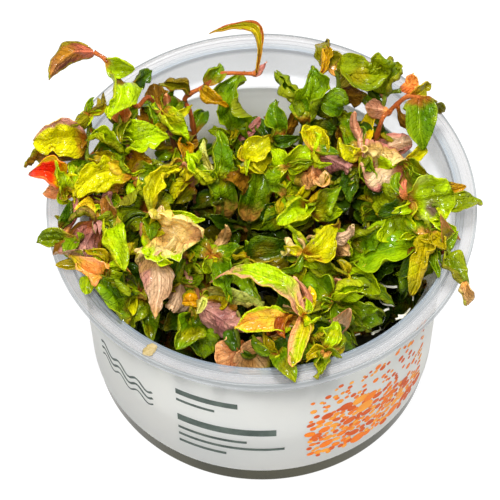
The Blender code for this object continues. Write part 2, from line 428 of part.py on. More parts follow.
def cup_profile():
    """From the middle of the floor up the inside, over the flange and down the outside."""
    step_inside = wall_radius(STEP_HEIGHT) - WALL
    collar_foot = MOUTH_RADIUS - COLLAR_DRAFT
    lip_inside = FLANGE_RADIUS - LIP_THICKNESS
    inside = [(0, BASE_THICKNESS), (wall_radius(0) - WALL - FLOOR_CORNER, BASE_THICKNESS),
              (wall_radius(FLOOR_CORNER) - WALL, BASE_THICKNESS + FLOOR_CORNER),
              (step_inside, STEP_HEIGHT), (collar_foot, STEP_HEIGHT + STEP_DRAFT),
              (MOUTH_RADIUS, CUP_HEIGHT)]
    flange = [(FLANGE_RADIUS, CUP_HEIGHT), (FLANGE_RADIUS, CUP_HEIGHT - FLANGE_LIP),
              (lip_inside, CUP_HEIGHT - FLANGE_LIP), (lip_inside, CUP_HEIGHT - WALL)]
    outside = [(MOUTH_RADIUS + WALL, CUP_HEIGHT - WALL),
               (collar_foot + WALL, STEP_HEIGHT + STEP_DRAFT - WALL),
               (step_inside + WALL, STEP_HEIGHT - WALL), (wall_radius(FOOT_CORNER), FOOT_CORNER),
               (FOOT_RADIUS, 0), (0, 0)]
    return inside + flange + outside


def make_cup(collection):
    """The moulded tub with its flange, its collar and its flat base."""
    cup = turned("cup", cup_profile(), CUP_SIDES, collection)
    cup.data.materials.append(material("clear_plastic", CUP_COLOUR, 0.12, Alpha=0.35))
    return cup


def make_label(collection):
    """The paper band round the wall, a hair clear of it."""
    foot = wall_radius(LABEL_FOOT) + GAP
    top = wall_radius(LABEL_TOP) + GAP
    profile = [(foot, LABEL_FOOT), (top, LABEL_TOP), (top + LABEL_THICKNESS, LABEL_TOP),
               (foot + LABEL_THICKNESS, LABEL_FOOT)]
    label = turned("label", profile, CUP_SIDES, collection)
    label.data.materials.append(material("label_paper", LABEL_COLOUR, 0.6))
    return label


def make_gel(collection):
    """The growing medium, set in the bottom of the cup."""
    foot = BASE_THICKNESS + GAP
    foot_reach = wall_radius(0) - WALL - GAP - FLOOR_CORNER
    side_reach = wall_radius(FLOOR_CORNER) - WALL - GAP
    top_reach = wall_radius(GEL_TOP) - WALL - GAP
    profile = [(0, GEL_TOP), (top_reach, GEL_TOP), (side_reach, foot + FLOOR_CORNER),
               (foot_reach, foot), (0, foot)]
    gel = turned("gel", profile, CUP_SIDES, collection)
    gel.data.materials.append(material("growing_gel", GEL_COLOUR, 0.3))
    return gel


def ovate(share):
    """How wide a leaf is at a share of its length, 1 where it is widest."""
    widest = OVATE_RISE / (OVATE_RISE + OVATE_FALL)
    peak = widest ** OVATE_RISE * (1 - widest) ** OVATE_FALL
    return share ** OVATE_RISE * (1 - share) ** OVATE_FALL / peak


def blade_frame(base, tip, turn):
    """A blade's direction, its facing side and its sideways direction at mid-length."""
    along = (tip - base).normalized()
    look = (VIEWPOINT - (base + tip) / 2).normalized()
    facing = (look - along * look.dot(along)).normalized()
    facing.rotate(Quaternion(along, math.radians(turn)))
    return along, facing, along.cross(facing)


def blade_point(base, tip, spec, turn, share):
    """The midrib's point at a share of the length, with the blade's facing and side there."""
    along, facing, side = blade_frame(base, tip, turn)
    hump = 4 * share * (1 - share)
    middle = base.lerp(tip, share) + facing * (spec["bow"] * hump) + side * (spec["sway"] * hump)
    wind = Quaternion(along, math.radians(spec["twist"] * (share - 0.5)))
    return middle, wind @ facing, wind @ side


def blade_solid(base, tip, spec, turn, grow=0.0):
    """Corners and faces of a blade's closed solid: four-cornered cuts that end in a point."""
    corners = []
    cuts = NARROW_BLADE_CUTS if spec["wide"] < NARROW_BLADE else BLADE_CUTS
    for share, thick in cuts:
        middle, facing, side = blade_point(base, tip, spec, turn, share)
        half = max(PETIOLE_WIDTH, spec["wide"] * ovate(share)) / 2 + grow
        lift = math.radians(spec["fold"]) if share else 0
        edge = side * (half * math.cos(lift))
        rise = facing * (half * math.sin(lift))
        depth = facing * (thick * BLADE_THICKNESS / 2 + grow)
        corners += [middle + edge + rise, middle + depth, middle - edge + rise, middle - depth]
    corners.append(tip + (tip - base).normalized() * grow)
    faces = [(0, 1, 2, 3)]
    for cut in range(len(cuts) - 1):
        for corner in range(4):
            low, high = cut * 4 + corner, cut * 4 + (corner + 1) % 4
            faces.append((high, low, low + 4, high + 4))
    last = len(corners) - 5
    faces += [(last + (corner + 1) % 4, last + corner, last + 4) for corner in range(4)]
    return corners, faces


def mesh_of(name, corners, faces):
    """A mesh of these corners and faces, with its faces turned out."""
    mesh = bpy.data.meshes.new(name)
    solid = bmesh.new()
    points = [solid.verts.new(corner * MM) for corner in corners]
    for face in faces:
        solid.faces.new([points[index] for index in face])
    bmesh.ops.recalc_face_normals(solid, faces=solid.faces)
    solid.to_mesh(mesh)
    solid.free()
    return mesh


def tree_of(mesh):
    """The mesh's search tree and its box, for telling what it touches."""
    points = [vertex.co for vertex in mesh.vertices]
    low = Vector([min(point[axis] for point in points) for axis in range(3)])
    high = Vector([max(point[axis] for point in points) for axis in range(3)])
    return BVHTree.FromPolygons(points, [face.vertices for face in mesh.polygons]), low, high


def evaluated_tree(item, depsgraph):
    """The search tree of an object as its modifiers leave it."""
    mesh = bpy.data.meshes.new_from_object(item.evaluated_get(depsgraph))
    found = tree_of(mesh)
    bpy.data.meshes.remove(mesh)
    return found


def touches(trial, placed, own):
    """Whether the trial's tree meets any piece placed before, other than its own stem."""
    tree, low, high = trial
    for owner, (other, other_low, other_high) in placed:
        if owner == own:
            continue
        if any(low[axis] > other_high[axis] or high[axis] < other_low[axis] for axis in range(3)):
            continue
        if tree.overlap(other):
            return True
    return False


def root_of(first, shift):
    """Where a stem stands on the gel: under its first node, drawn in to the cup's middle."""
    root = Vector((first.x * ROOT_DRAW + shift[0], first.y * ROOT_DRAW + shift[1], 0))
    if root.length > ROOT_REACH:
        root *= ROOT_REACH / root.length
    root.z = GEL_TOP + GAP
    return root


def stem_points(nodes, shift):
    """The stem's course from its root through its nodes."""
    places = [sight(*node) for node in nodes]
    return [root_of(places[0], shift)] + places


def samples(points):
    """Places about every millimetre along a course."""
    found = []
    for start, end in zip(points, points[1:]):
        count = max(1, round((end - start).length))
        found += [start.lerp(end, step / count) for step in range(count)]
    return found + [points[-1]]


def make_stem(name, points, collection):
    """A stem: a tube that thins to its tip, made a mesh with its caps welded."""
    course = bpy.data.curves.new(name, "CURVE")
    course.dimensions = "3D"
    course.bevel_depth = STEM_RADIUS * MM
    course.bevel_resolution = 0
    course.use_fill_caps = True
    line = course.splines.new("POLY")
    line.points.add(len(points) - 1)
    for index, point in enumerate(points):
        line.points[index].co = (*(point * MM), 1)
        thin = index / (len(points) - 1)
        line.points[index].radius = 1 + (STEM_TIP_RADIUS / STEM_RADIUS - 1) * thin
    tube = add_object(name + "_course", course, collection)
    evaluated = tube.evaluated_get(bpy.context.evaluated_depsgraph_get())
    mesh = bpy.data.meshes.new_from_object(evaluated)
    item = add_object(name, mesh, collection)
    item.matrix_world = tube.matrix_world
    bpy.data.objects.remove(tube, do_unlink=True)
    solid = bmesh.new()
    solid.from_mesh(mesh)
    bmesh.ops.remove_doubles(solid, verts=solid.verts, dist=WELD)
    bmesh.ops.recalc_face_normals(solid, faces=solid.faces)
    solid.to_mesh(mesh)
    solid.free()
    return item


def place_stem(name, nodes, standing, collection):
    """The stem, from the first root place where it keeps clear of the stems that stand already."""
    crowd = KDTree(len(standing))
    for index, place in enumerate(standing):
        crowd.insert(place, index)
    crowd.balance()
    best = None
    for shift in SETTLE_ROOTS:
        points = stem_points(nodes, shift)
        nearest = min(crowd.find(place)[2] or STEM_SPACING for place in samples(points))
        if best is None or nearest > best[0]:
            best = (nearest, points)
        if nearest >= STEM_SPACING:
            break
    standing += samples(best[1])
    return make_stem(name, best[1], collection), best[1]


def base_on(points, node, order):
    """Where a node's leaf of that order grows from: the node itself, or a little down the stem."""
    top, below = points[node + 1], points[node]
    drop = min(order * LEAF_STAGGER, (top - below).length * STAGGER_SHARE)
    return top + (below - top).normalized() * drop


def order_at_node(leaves, index):
    """How many of the leaves before this one grow from the same node."""
    node = leaves[index]["node"]
    return sum(other["node"] == node for other in leaves[:index])


def place_blade(name, base, spec, placed, stem):
    """The blade's mesh, in the first of the ways to settle it that keeps it clear."""
    u, v, h = spec["tip"]
    for length, swing, lift in product(SETTLE_LENGTHS, SETTLE_TURNS, SETTLE_LIFTS):
        tip = base.lerp(sight(u, v, h + lift), length)
        turn = spec["turn"] + swing
        trial = mesh_of("trial", *blade_solid(base, tip, spec, turn, GAP))
        blocked = touches(tree_of(trial), placed, stem)
        bpy.data.meshes.remove(trial)
        if not blocked:
            return mesh_of(name, *blade_solid(base, tip, spec, turn))
    raise ValueError("no room for " + name)


def fuse(stem, blades, cutters):
    """Join the blades to their stem as one closed solid."""
    pieces = bpy.data.collections.new(stem.name + "_blades")
    cutters.children.link(pieces)
    for index, mesh in enumerate(blades):
        item = add_object(f"{stem.name}_blade_{index}", mesh, pieces)
        item.hide_render = True
        item.display_type = "WIRE"
    join = stem.modifiers.new("fuse", "BOOLEAN")
    join.operation = "UNION"
    join.operand_type = "COLLECTION"
    join.collection = pieces
    join.solver = "EXACT"
    join.material_mode = "TRANSFER"
    evaluated = stem.evaluated_get(bpy.context.evaluated_depsgraph_get())
    fused = bpy.data.meshes.new_from_object(evaluated)
    stem.modifiers.clear()
    stem.data = fused
    for item in list(pieces.objects):
        bpy.data.objects.remove(item, do_unlink=True)
    bpy.data.collections.remove(pieces)


def make_shoots(collection, cutters, pot):
    """Every shoot, its leaves settled clear of the pot and of the shoots placed before it."""
    depsgraph = bpy.context.evaluated_depsgraph_get()
    placed = [(item.name, evaluated_tree(item, depsgraph)) for item in pot]
    tissue = {tint: material("leaf_" + tint, (*colour, 1), 0.35) for tint, colour in TINTS.items()}
    standing = []
    stems = {}
    for name, (colour, nodes, leaves) in SHOOTS.items():
        stem, points = place_stem("shoot_" + name, nodes, standing, collection)
        stem.data.materials.append(tissue[colour])
        stems[name] = (stem, points)
        placed.append((name, tree_of(stem.data)))
    blades = {name: [] for name in stems}
    for shaded in (False, True):
        for name, (stem, points) in stems.items():
            for index, spec in enumerate(SHOOTS[name][2]):
                if (spec["tint"] in SHADED_TINTS) != shaded:
                    continue
                base = base_on(points, spec["node"], order_at_node(SHOOTS[name][2], index))
                mesh = place_blade(f"{name}_{index}", base, spec, placed, name)
                mesh.materials.append(tissue[spec["tint"]])
                blades[name].append(mesh)
                placed.append((f"{name}_{index}", tree_of(mesh)))
    for name, (stem, _) in stems.items():
        fuse(stem, blades[name], cutters)


def main():
    clear_scene()
    parts = bpy.data.collections.new("rotala_in_cup")
    cutters = bpy.data.collections.new("cutters")
    bpy.context.scene.collection.children.link(parts)
    bpy.context.scene.collection.children.link(cutters)
    cup = make_cup(parts)
    make_label(parts)
    gel = make_gel(parts)
    bpy.context.view_layer.update()
    make_shoots(parts, cutters, [cup, gel])


main()
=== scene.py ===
"""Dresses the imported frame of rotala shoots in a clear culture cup: the cup, its printed label, the
growing gel, the roots, and every shoot with its crumpled leaves.

Sizes are in millimetres and are turned to metres where a mesh is made. +Z is up, -Y is the front.
"""
import math
import random
from itertools import product

import bmesh
import bpy
import numpy as np
from mathutils import Matrix, Quaternion, Vector, noise
from mathutils.kdtree import KDTree


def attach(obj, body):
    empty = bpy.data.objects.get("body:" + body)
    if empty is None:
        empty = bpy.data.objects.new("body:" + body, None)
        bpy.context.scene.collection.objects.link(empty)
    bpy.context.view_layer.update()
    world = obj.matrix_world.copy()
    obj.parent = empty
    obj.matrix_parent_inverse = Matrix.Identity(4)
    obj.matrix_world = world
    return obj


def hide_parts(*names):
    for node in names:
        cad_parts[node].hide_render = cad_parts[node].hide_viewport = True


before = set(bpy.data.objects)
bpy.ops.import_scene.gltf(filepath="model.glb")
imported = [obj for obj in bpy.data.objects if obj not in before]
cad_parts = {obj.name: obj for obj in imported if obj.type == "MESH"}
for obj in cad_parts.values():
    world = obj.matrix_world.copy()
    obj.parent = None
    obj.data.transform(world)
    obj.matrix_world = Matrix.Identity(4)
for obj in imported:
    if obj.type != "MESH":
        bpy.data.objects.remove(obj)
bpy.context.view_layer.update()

# The cup is one clear polypropylene tub, injection moulded in a polished tool. A lid would clip
# over its flange, and the tool's turned rings show there as fine ridges round the mouth.
MM = 0.001
GAP = 0.3                       # between pieces that touch
TURNED_STEPS = 192              # round a turned piece
CUP_HEIGHT = 59.0
FLANGE_RADIUS = 50.0
FLANGE_LIP = 2.0                # the turned-down edge of the flange
LIP_THICKNESS = 0.9
MOUTH_RADIUS = 45.15
COLLAR_DRAFT = 0.7              # how far the collar widens up to the mouth
STEP_HEIGHT = 48.6              # of the step where a lid would seat
STEP_DRAFT = 1.4                # how far the step rises on its way out
WALL_FOOT_RADIUS = 41.1
WALL_TOP_RADIUS = 42.7
WALL = 1.1
BASE_THICKNESS = 1.2
FLOOR_CORNER = 1.6              # the slope between the floor and the wall, inside
FOOT_RADIUS = 40.4              # of the flat that the cup stands on
FOOT_CORNER = 0.8               # the height of the slope up from that flat
GEL_TOP = 10.0                  # how high the growing gel stands in the cup
CORNER = 0.5                    # radius of the moulded corners
CORNER_SHARE = 0.45             # the most of an edge that one corner may take
RINGS_START = 45.0              # how far out the flange's rings begin
RINGS_FADE = (57.2, 58.2)       # the heights between which they come in, on the flange's top
GEL_EDGE = 0.5                  # half the height over which the gel's colour ends
HAZE_SPAN = 60.0                # the height that the wall's haze is laid out over
RIDGES = ((45.8, 0.0), (46.1, 0.28), (46.5, 0.04), (46.8, 0.36), (47.2, 0.14), (47.5, 0.4),
          (48.2, 0.34), (48.9, 0.3), (49.2, 0.06))     # radius, and depth below the flange's top


def wall_radius(height):
    """The outer radius of the tapered wall at a height."""
    return WALL_FOOT_RADIUS + (WALL_TOP_RADIUS - WALL_FOOT_RADIUS) * height / STEP_HEIGHT


def eased(profile, radius):
    """The profile with each of its inner corners rounded off."""
    found = [profile[0]]
    for before, corner, after in zip(profile, profile[1:], profile[2:]):
        before, corner, after = (np.array(point, dtype=float) for point in (before, corner, after))
        cut_in = min(radius / np.linalg.norm(before - corner), CORNER_SHARE)
        cut_out = min(radius / np.linalg.norm(after - corner), CORNER_SHARE)
        start = corner + (before - corner) * cut_in
        end = corner + (after - corner) * cut_out
        for share in (0.0, 0.25, 0.5, 0.75, 1.0):
            found.append(tuple(start * (1 - share) ** 2 + corner * 2 * share * (1 - share)
                               + end * share ** 2))
    return found + [profile[-1]]


def closed_mesh(name, points, faces):
    """A mesh of those points and faces, with every face turned outward."""
    mesh = bpy.data.meshes.new(name)
    mesh.from_pydata(points, [], faces)
    solid = bmesh.new()
    solid.from_mesh(mesh)
    bmesh.ops.recalc_face_normals(solid, faces=solid.faces)
    solid.to_mesh(mesh)
    solid.free()
    return mesh


def turned(name, profile, waver=None):
    """A turned piece: a closed profile of radius and height. waver lifts a point by its x, y, z."""
    points, rings = [], []
    for radius, height in profile:
        count = 1 if radius < 1e-6 else TURNED_STEPS
        rings.append([len(points) + step for step in range(count)])
        for step in range(count):
            angle = step * math.tau / TURNED_STEPS
            place = Vector((radius * math.cos(angle), radius * math.sin(angle), height))
            if waver:
                place.z += waver(place)
            points.append(place * MM)
    closed = profile[0][0] > 1e-6
    faces = []
    for low, high in zip(rings, rings[1:] + rings[:1] if closed else rings[1:]):
        for step in range(TURNED_STEPS):
            following = (step + 1) % TURNED_STEPS
            corners = [low[step % len(low)], low[following % len(low)],
                       high[following % len(high)], high[step % len(high)]]
            faces.append(list(dict.fromkeys(corners)))
    mesh = closed_mesh(name, points, faces)
    mesh.shade_smooth()
    return show(name, mesh)


def show(name, mesh):
    """Put a mesh in the scene as a piece of that name, which rides on the cup's one body."""
    piece = bpy.data.objects.new(name, mesh)
    bpy.context.scene.collection.objects.link(piece)
    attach(piece, "root")
    return piece


def linear(code):
    """An sRGB hex colour as linear red, green, blue and alpha."""
    channels = [int(code[place:place + 2], 16) / 255 for place in (0, 2, 4)]
    return tuple(value / 12.92 if value < 0.04045 else ((value + 0.055) / 1.055) ** 2.4
                 for value in channels) + (1.0,)


def grey(value):
    """A linear grey, for a ramp that gives an amount and not a colour."""
    return (value, value, value, 1.0)


def blank(name):
    """A new material of that name and its empty node tree."""
    made = bpy.data.materials.new(name)
    made.use_nodes = True
    made.node_tree.nodes.clear()
    return made, made.node_tree


def add(tree, kind, inputs=None, stops=None, out=0, **settings):
    """Add a node: its inputs as values or as sockets to link, its ramp's stops and its settings.

    It gives the node's first output, or the one that out names.
    """
    made = tree.nodes.new("ShaderNode" + kind)
    for name, value in settings.items():
        setattr(made, name, value)
    for name, value in (inputs or {}).items():
        if isinstance(value, bpy.types.NodeSocket):
            tree.links.new(value, made.inputs[name])
        else:
            made.inputs[name].default_value = value
    if stops:
        ramp = made.color_ramp.elements
        while len(ramp) < len(stops):
            ramp.new(0.5)
        for stop, (position, colour) in zip(ramp, stops):
            stop.position = position
            stop.color = colour if len(colour) == 4 else linear(colour)
    return made.outputs[out] if made.outputs else None


# Clear moulded polypropylene is a little milky: it shows what is behind it and hides more of it where
# it is seen edge on. Its bluish grey bands on the flange, and the darker lines at the ridges and the
# flange's rolled edge, are painted shade, for the shade seen through the clear plastic.
clear_plastic, tree = blank("moulded_clear_polypropylene")
spot = add(tree, "TexCoord", out="Object")
flat = add(tree, "VectorMath", {0: spot, 1: (1, 1, 0)}, operation="MULTIPLY")
reach = add(tree, "VectorMath", {0: flat}, out="Value", operation="LENGTH")
# the rings run out to the flange's edge, on its top alone
across = add(tree, "MapRange", {
    "Value": reach, "From Min": RINGS_START * MM, "From Max": FLANGE_RADIUS * MM})
smear = add(tree, "TexNoise", {"Vector": spot, "Scale": 60.0, "Detail": 4.0})
blurred = add(tree, "Math", {0: smear, 1: 0.035, 2: across}, operation="MULTIPLY_ADD")
# painted shade: these bluish grey bands and dark lines stand in for the shade seen through the flange
rings = add(tree, "ValToRGB", {"Fac": blurred}, [
    (0.04, "62717F"), (0.09, "96A0A8"), (0.14, "74828E"), (0.20, "9EA4A8"), (0.38, "9A9EA0"),
    (0.41, "72787C"), (0.45, "A6A6A7"), (0.88, "AAA7A6"), (0.93, "6E7476"), (0.96, "989B9B")])
# the tool's turning marks, 0.1 mm apart, are drawn 0.4 mm apart so that they show
ringed = add(tree, "CombineXYZ", {"X": reach, "Y": 0.0, "Z": 0.0})
marks = add(tree, "TexNoise", {"Vector": ringed, "Scale": 2200.0, "Detail": 1.0})
marked = add(tree, "MapRange", {
    "Value": marks, "From Min": 0.3, "From Max": 0.7, "To Min": 0.78, "To Max": 1.12})
# they are plain on the collar, and polished away on the flat land outside it
polished = add(tree, "MapRange", {"Value": blurred, "From Min": 0.40, "From Max": 0.46})
marked = add(tree, "MixRGB", {"Fac": polished, "Color1": marked, "Color2": grey(1.0)})
rings = add(tree, "VectorMath", {0: rings, "Scale": marked}, operation="SCALE")
height = add(tree, "SeparateXYZ", {0: spot}, out="Z")
on_top = add(tree, "MapRange", {
    "Value": height, "From Min": RINGS_FADE[0] * MM, "From Max": RINGS_FADE[1] * MM})
tone = add(tree, "MixRGB", {"Fac": on_top, "Color1": linear("C6C9CC"), "Color2": rings})
# low down the wall is painted with the colour of the gel that wets its inside, as seen through it,
# and darker than the gel as painted shade
olive = add(tree, "ValToRGB", {"Fac": smear}, [(0.35, "2E2C14"), (0.65, "403D22")])
painted_gel_band = add(tree, "MapRange", {
    "Value": height, "From Min": (GEL_TOP - GEL_EDGE) * MM, "From Max": (GEL_TOP + GEL_EDGE) * MM,
    "To Min": 1.0, "To Max": 0.0})
tone = add(tree, "MixRGB", {"Fac": painted_gel_band, "Color1": tone, "Color2": olive})
# the wall hides the gel's edge, is clear behind the label and hazy on the step and the collar
ring_haze = add(tree, "ValToRGB", {"Fac": blurred}, [
    (0.0, grey(0.56)), (0.4, grey(0.54)), (0.5, grey(0.46)), (0.92, grey(0.46)), (1.0, grey(0.75))])
up_wall = add(tree, "MapRange", {"Value": height, "From Max": HAZE_SPAN * MM})
wall_haze = add(tree, "ValToRGB", {"Fac": up_wall}, [
    (0.0, grey(0.9)), (0.158, grey(0.9)), (0.175, grey(0.06)), (0.77, grey(0.08)), (0.82, grey(0.3)),
    (1.0, grey(0.36))])
haze = add(tree, "MixRGB", {"Fac": on_top, "Color1": wall_haze, "Color2": ring_haze})
edge_on = add(tree, "LayerWeight", {"Blend": 0.22}, out="Facing")
edge_line = add(tree, "Math", {0: edge_on, 1: 2.0}, operation="POWER")
cover = add(tree, "Math", {0: edge_line, 1: 0.5, 2: haze}, operation="MULTIPLY_ADD", use_clamp=True)
scuff = add(tree, "TexNoise", {"Vector": spot, "Scale": 900.0, "Detail": 2.0})
gloss = add(tree, "MapRange", {"Value": scuff, "To Min": 0.1, "To Max": 0.22})
skin = add(tree, "Bump", {"Height": smear, "Strength": 0.15, "Distance": 0.0006})
shader = add(tree, "BsdfPrincipled", {
    "Base Color": tone, "Roughness": gloss, "IOR": 1.49, "Alpha": cover, "Normal": skin,
    "Specular IOR Level": 0.14})
add(tree, "OutputMaterial", {"Surface": shader})

# from the middle of the floor up the inside, out over the flange and down the outside
step_inside = wall_radius(STEP_HEIGHT) - WALL
collar_foot = MOUTH_RADIUS - COLLAR_DRAFT
lip_inside = FLANGE_RADIUS - LIP_THICKNESS
cup_profile = [(0, BASE_THICKNESS), (wall_radius(0) - WALL - FLOOR_CORNER, BASE_THICKNESS),
               (wall_radius(FLOOR_CORNER) - WALL, BASE_THICKNESS + FLOOR_CORNER),
               (step_inside, STEP_HEIGHT), (collar_foot, STEP_HEIGHT + STEP_DRAFT),
               (MOUTH_RADIUS, CUP_HEIGHT)]
cup_profile += [(radius, CUP_HEIGHT - depth) for radius, depth in RIDGES]
cup_profile += [(FLANGE_RADIUS, CUP_HEIGHT), (FLANGE_RADIUS, CUP_HEIGHT - FLANGE_LIP),
                (lip_inside, CUP_HEIGHT - FLANGE_LIP), (lip_inside, CUP_HEIGHT - WALL),
                (MOUTH_RADIUS + WALL, CUP_HEIGHT - WALL),
                (collar_foot + WALL, STEP_HEIGHT + STEP_DRAFT - WALL),
                (step_inside + WALL, STEP_HEIGHT - WALL), (wall_radius(FOOT_CORNER), FOOT_CORNER),
                (FOOT_RADIUS, 0), (0, 0)]
moulded_cup = turned("moulded_cup", eased(cup_profile, CORNER))
moulded_cup.data.materials.append(clear_plastic)
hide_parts("cup")


# The label is one band of white coated paper, glued round the wall. It reaches from a little above
# the cup's floor to just under the step.
LABEL_FOOT = 6.8
LABEL_TOP = 46.0
LABEL_THICKNESS = 0.35
CUT_STRAY = 0.12                # how far the paper's cut edge strays
CUT_WAVE = 14                   # over what length it does


def label_waver(place):
    """How far the paper's edge strays from a true cut."""
    return CUT_STRAY * noise.noise(place / CUT_WAVE)


# White coated paper is a soft near-white with a faint sheen and a barely uneven face.
label_paper, tree = blank("coated_white_paper")
spot = add(tree, "TexCoord", out="Object")
# paper fibres of about 0.1 mm are too fine to show and are drawn at about 0.6 mm
fibre = add(tree, "TexNoise", {"Vector": spot, "Scale": 1600.0, "Detail": 3.0})
ripple = add(tree, "TexNoise", {"Vector": spot, "Scale": 45.0, "Detail": 2.0})
white = add(tree, "ValToRGB", {"Fac": ripple}, [(0.3, "E6E8E8"), (0.7, "EEEEEC")])
speck = add(tree, "MapRange", {"Value": fibre, "To Min": 0.97, "To Max": 1.0})
face = add(tree, "VectorMath", {0: white, "Scale": speck}, operation="SCALE")
gloss = add(tree, "MapRange", {"Value": fibre, "To Min": 0.38, "To Max": 0.52})
height = add(tree, "Math", {0: ripple, 1: 6.0, 2: fibre}, operation="MULTIPLY_ADD")
skin = add(tree, "Bump", {"Height": height, "Strength": 0.2, "Distance": 0.00015})
shader = add(tree, "BsdfPrincipled", {
    "Base Color": face, "Roughness": gloss, "IOR": 1.5, "Normal": skin, "Coat Weight": 0.15,
    "Coat Roughness": 0.3})
through = add(tree, "BsdfTranslucent", {"Color": linear("F2EFDC")})
both = add(tree, "MixShader", {0: 0.38, 1: shader, 2: through})
add(tree, "OutputMaterial", {"Surface": both})

inner_foot = wall_radius(LABEL_FOOT) + GAP
inner_top = wall_radius(LABEL_TOP) + GAP
label_profile = [(inner_foot, LABEL_FOOT), (inner_top, LABEL_TOP),
                 (inner_top + LABEL_THICKNESS, LABEL_TOP), (inner_foot + LABEL_THICKNESS, LABEL_FOOT)]
paper_label = turned("paper_label", label_profile, label_waver)
paper_label.data.materials.append(label_paper)
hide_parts("label")


# The printing on the label is offset ink a few hundredths of a millimetre thick: a bed of orange
# pebbles with bubbles rising from it, three wavy water lines, and plain grey-green rules.
INK = 0.06                      # how proud the ink stands, thicker than real so that it shows
BLOT_SIDES = 14
RULES = ((-21, 37.5, 15, 2.2), (-21, 33.6, 9.5, 1.0), (-21, 25.4, 24, 2.8), (-21, 20.6, 17, 1.0),
         (-21, 17.4, 26, 1.0), (-21, 14.2, 12, 1.0))     # left end, height, length and width
RULE_STEPS = 16
WATER_LINES = ((30.0, 0.7), (27.2, 0.7), (24.4, 0.45))   # height and width
WATER_LEFT = -47                # where they start, how long they are and how high they swing
WATER_LONG = 19
WATER_SWING = 1.2
WATER_STEPS = 60
WAVE_STEPS = 20                 # of those, in one wave
PEBBLES_ALONG = (11, 47)        # the patch of label that the pebbles and bubbles may lie on
PEBBLES_HIGH = (10.5, 41)
PEBBLE_TRIALS = 9000
PEBBLE_SIZES = (0.5, 2.4)       # half sizes, in the bed and above it
BUBBLE_SIZES = (0.35, 0.9)
BUBBLES_KEPT = 0.03             # the share of trials above the bed that leave a bubble
BED_TOP = 23                    # the mean height of the bed's top, and how far it swells up and down
BED_SWELL = 8
PRESSED = 0.8                   # spots lie no closer than this share of their sizes' sum
ROUND_SPOT = 0.9                # spots up to this size are round


def on_band(along, height, proud):
    """The point of the label's face that lies so far round from the front, and so high."""
    radius = wall_radius(height) + GAP + LABEL_THICKNESS + proud
    angle = along / WALL_TOP_RADIUS
    return Vector((radius * math.sin(angle), -radius * math.cos(angle), height)) * MM


def stroke(points, faces, course, width):
    """A line of ink of that width along a course of places on the band."""
    start = len(points)
    for index, (along, height) in enumerate(course):
        ahead = course[min(index + 1, len(course) - 1)]
        behind = course[max(index - 1, 0)]
        run = Vector((ahead[0] - behind[0], ahead[1] - behind[1])).normalized()
        off = Vector((-run.y, run.x)) * (width / 2)
        for sign, proud in ((1, INK), (-1, INK), (-1, 0), (1, 0)):
            points.append(on_band(along + off.x * sign, height + off.y * sign, proud))
    for index in range(len(course) - 1):
        low = start + index * 4
        faces += [(low + k, low + (k + 1) % 4, low + 4 + (k + 1) % 4, low + 4 + k) for k in range(4)]
    last = start + (len(course) - 1) * 4
    faces += [(start + 3, start + 2, start + 1, start), (last, last + 1, last + 2, last + 3)]


def blot(points, faces, along, height, half_long, half_high, lean):
    """A rounded spot of ink."""
    start, sides = len(points), BLOT_SIDES
    for proud in (INK, 0):
        for step in range(sides):
            angle = step * math.tau / sides
            x, z = half_long * math.cos(angle), half_high * math.sin(angle)
            points.append(on_band(along + x * math.cos(lean) - z * math.sin(lean),
                                  height + x * math.sin(lean) + z * math.cos(lean), proud))
    faces.append([start + step for step in range(sides)])
    faces.append([start + sides + step for step in reversed(range(sides))])
    faces += [(start + step, start + sides + step, start + sides + (step + 1) % sides,
               start + (step + 1) % sides) for step in range(sides)]


def ink_mesh(name, points, faces, material):
    """The ink marks as one piece on the label."""
    mesh = closed_mesh(name, points, faces)
    mesh.materials.append(material)
    show(name, mesh)


def ink(name, dark, light):
    """Offset ink: two shades in fine mottled grain, a little duller than the bare coated paper."""
    made, tree = blank(name)
    spot = add(tree, "TexCoord", out="Object")
    # the screen's dots are too fine to show and are drawn as grain of about 0.5 mm
    grain = add(tree, "TexNoise", {"Vector": spot, "Scale": 1900.0, "Detail": 3.0})
    wash = add(tree, "TexNoise", {"Vector": spot, "Scale": 260.0, "Detail": 2.0})
    depth = add(tree, "Math", {0: grain, 1: 0.5, 2: wash}, operation="MULTIPLY_ADD")
    colour = add(tree, "ValToRGB", {"Fac": depth}, [(0.5, dark), (1.0, light)])
    gloss = add(tree, "MapRange", {"Value": grain, "To Min": 0.45, "To Max": 0.6})
    skin = add(tree, "Bump", {"Height": grain, "Strength": 0.1, "Distance": 0.0001})
    shader = add(tree, "BsdfPrincipled", {
        "Base Color": colour, "Roughness": gloss, "IOR": 1.5, "Normal": skin, "Specular IOR Level": 0.12})
    add(tree, "OutputMaterial", {"Surface": shader})
    return made


# The grey-green ink gives flat dark marks, and the oranges a warm mottled patch.
grey_ink = ink("offset_ink_grey_green", "3A4640", "5A655D")
orange_inks = {"printed_pebbles_deep": ink("offset_ink_deep_orange", "BE4604", "D86008"),
               "printed_pebbles_mid": ink("offset_ink_orange", "DC6406", "EC800C"),
               "printed_pebbles_light": ink("offset_ink_light_orange", "E28616", "F0A23A")}

points, faces = [], []
for left, height, long, width in RULES:
    course = [(left + long * step / RULE_STEPS, height) for step in range(RULE_STEPS + 1)]
    stroke(points, faces, course, width)
for height, width in WATER_LINES:
    course = [(WATER_LEFT + WATER_LONG * step / WATER_STEPS,
               height + WATER_SWING * math.sin(step * math.tau / WAVE_STEPS))
              for step in range(WATER_STEPS + 1)]
    stroke(points, faces, course, width)
ink_mesh("printed_rules", points, faces, grey_ink)

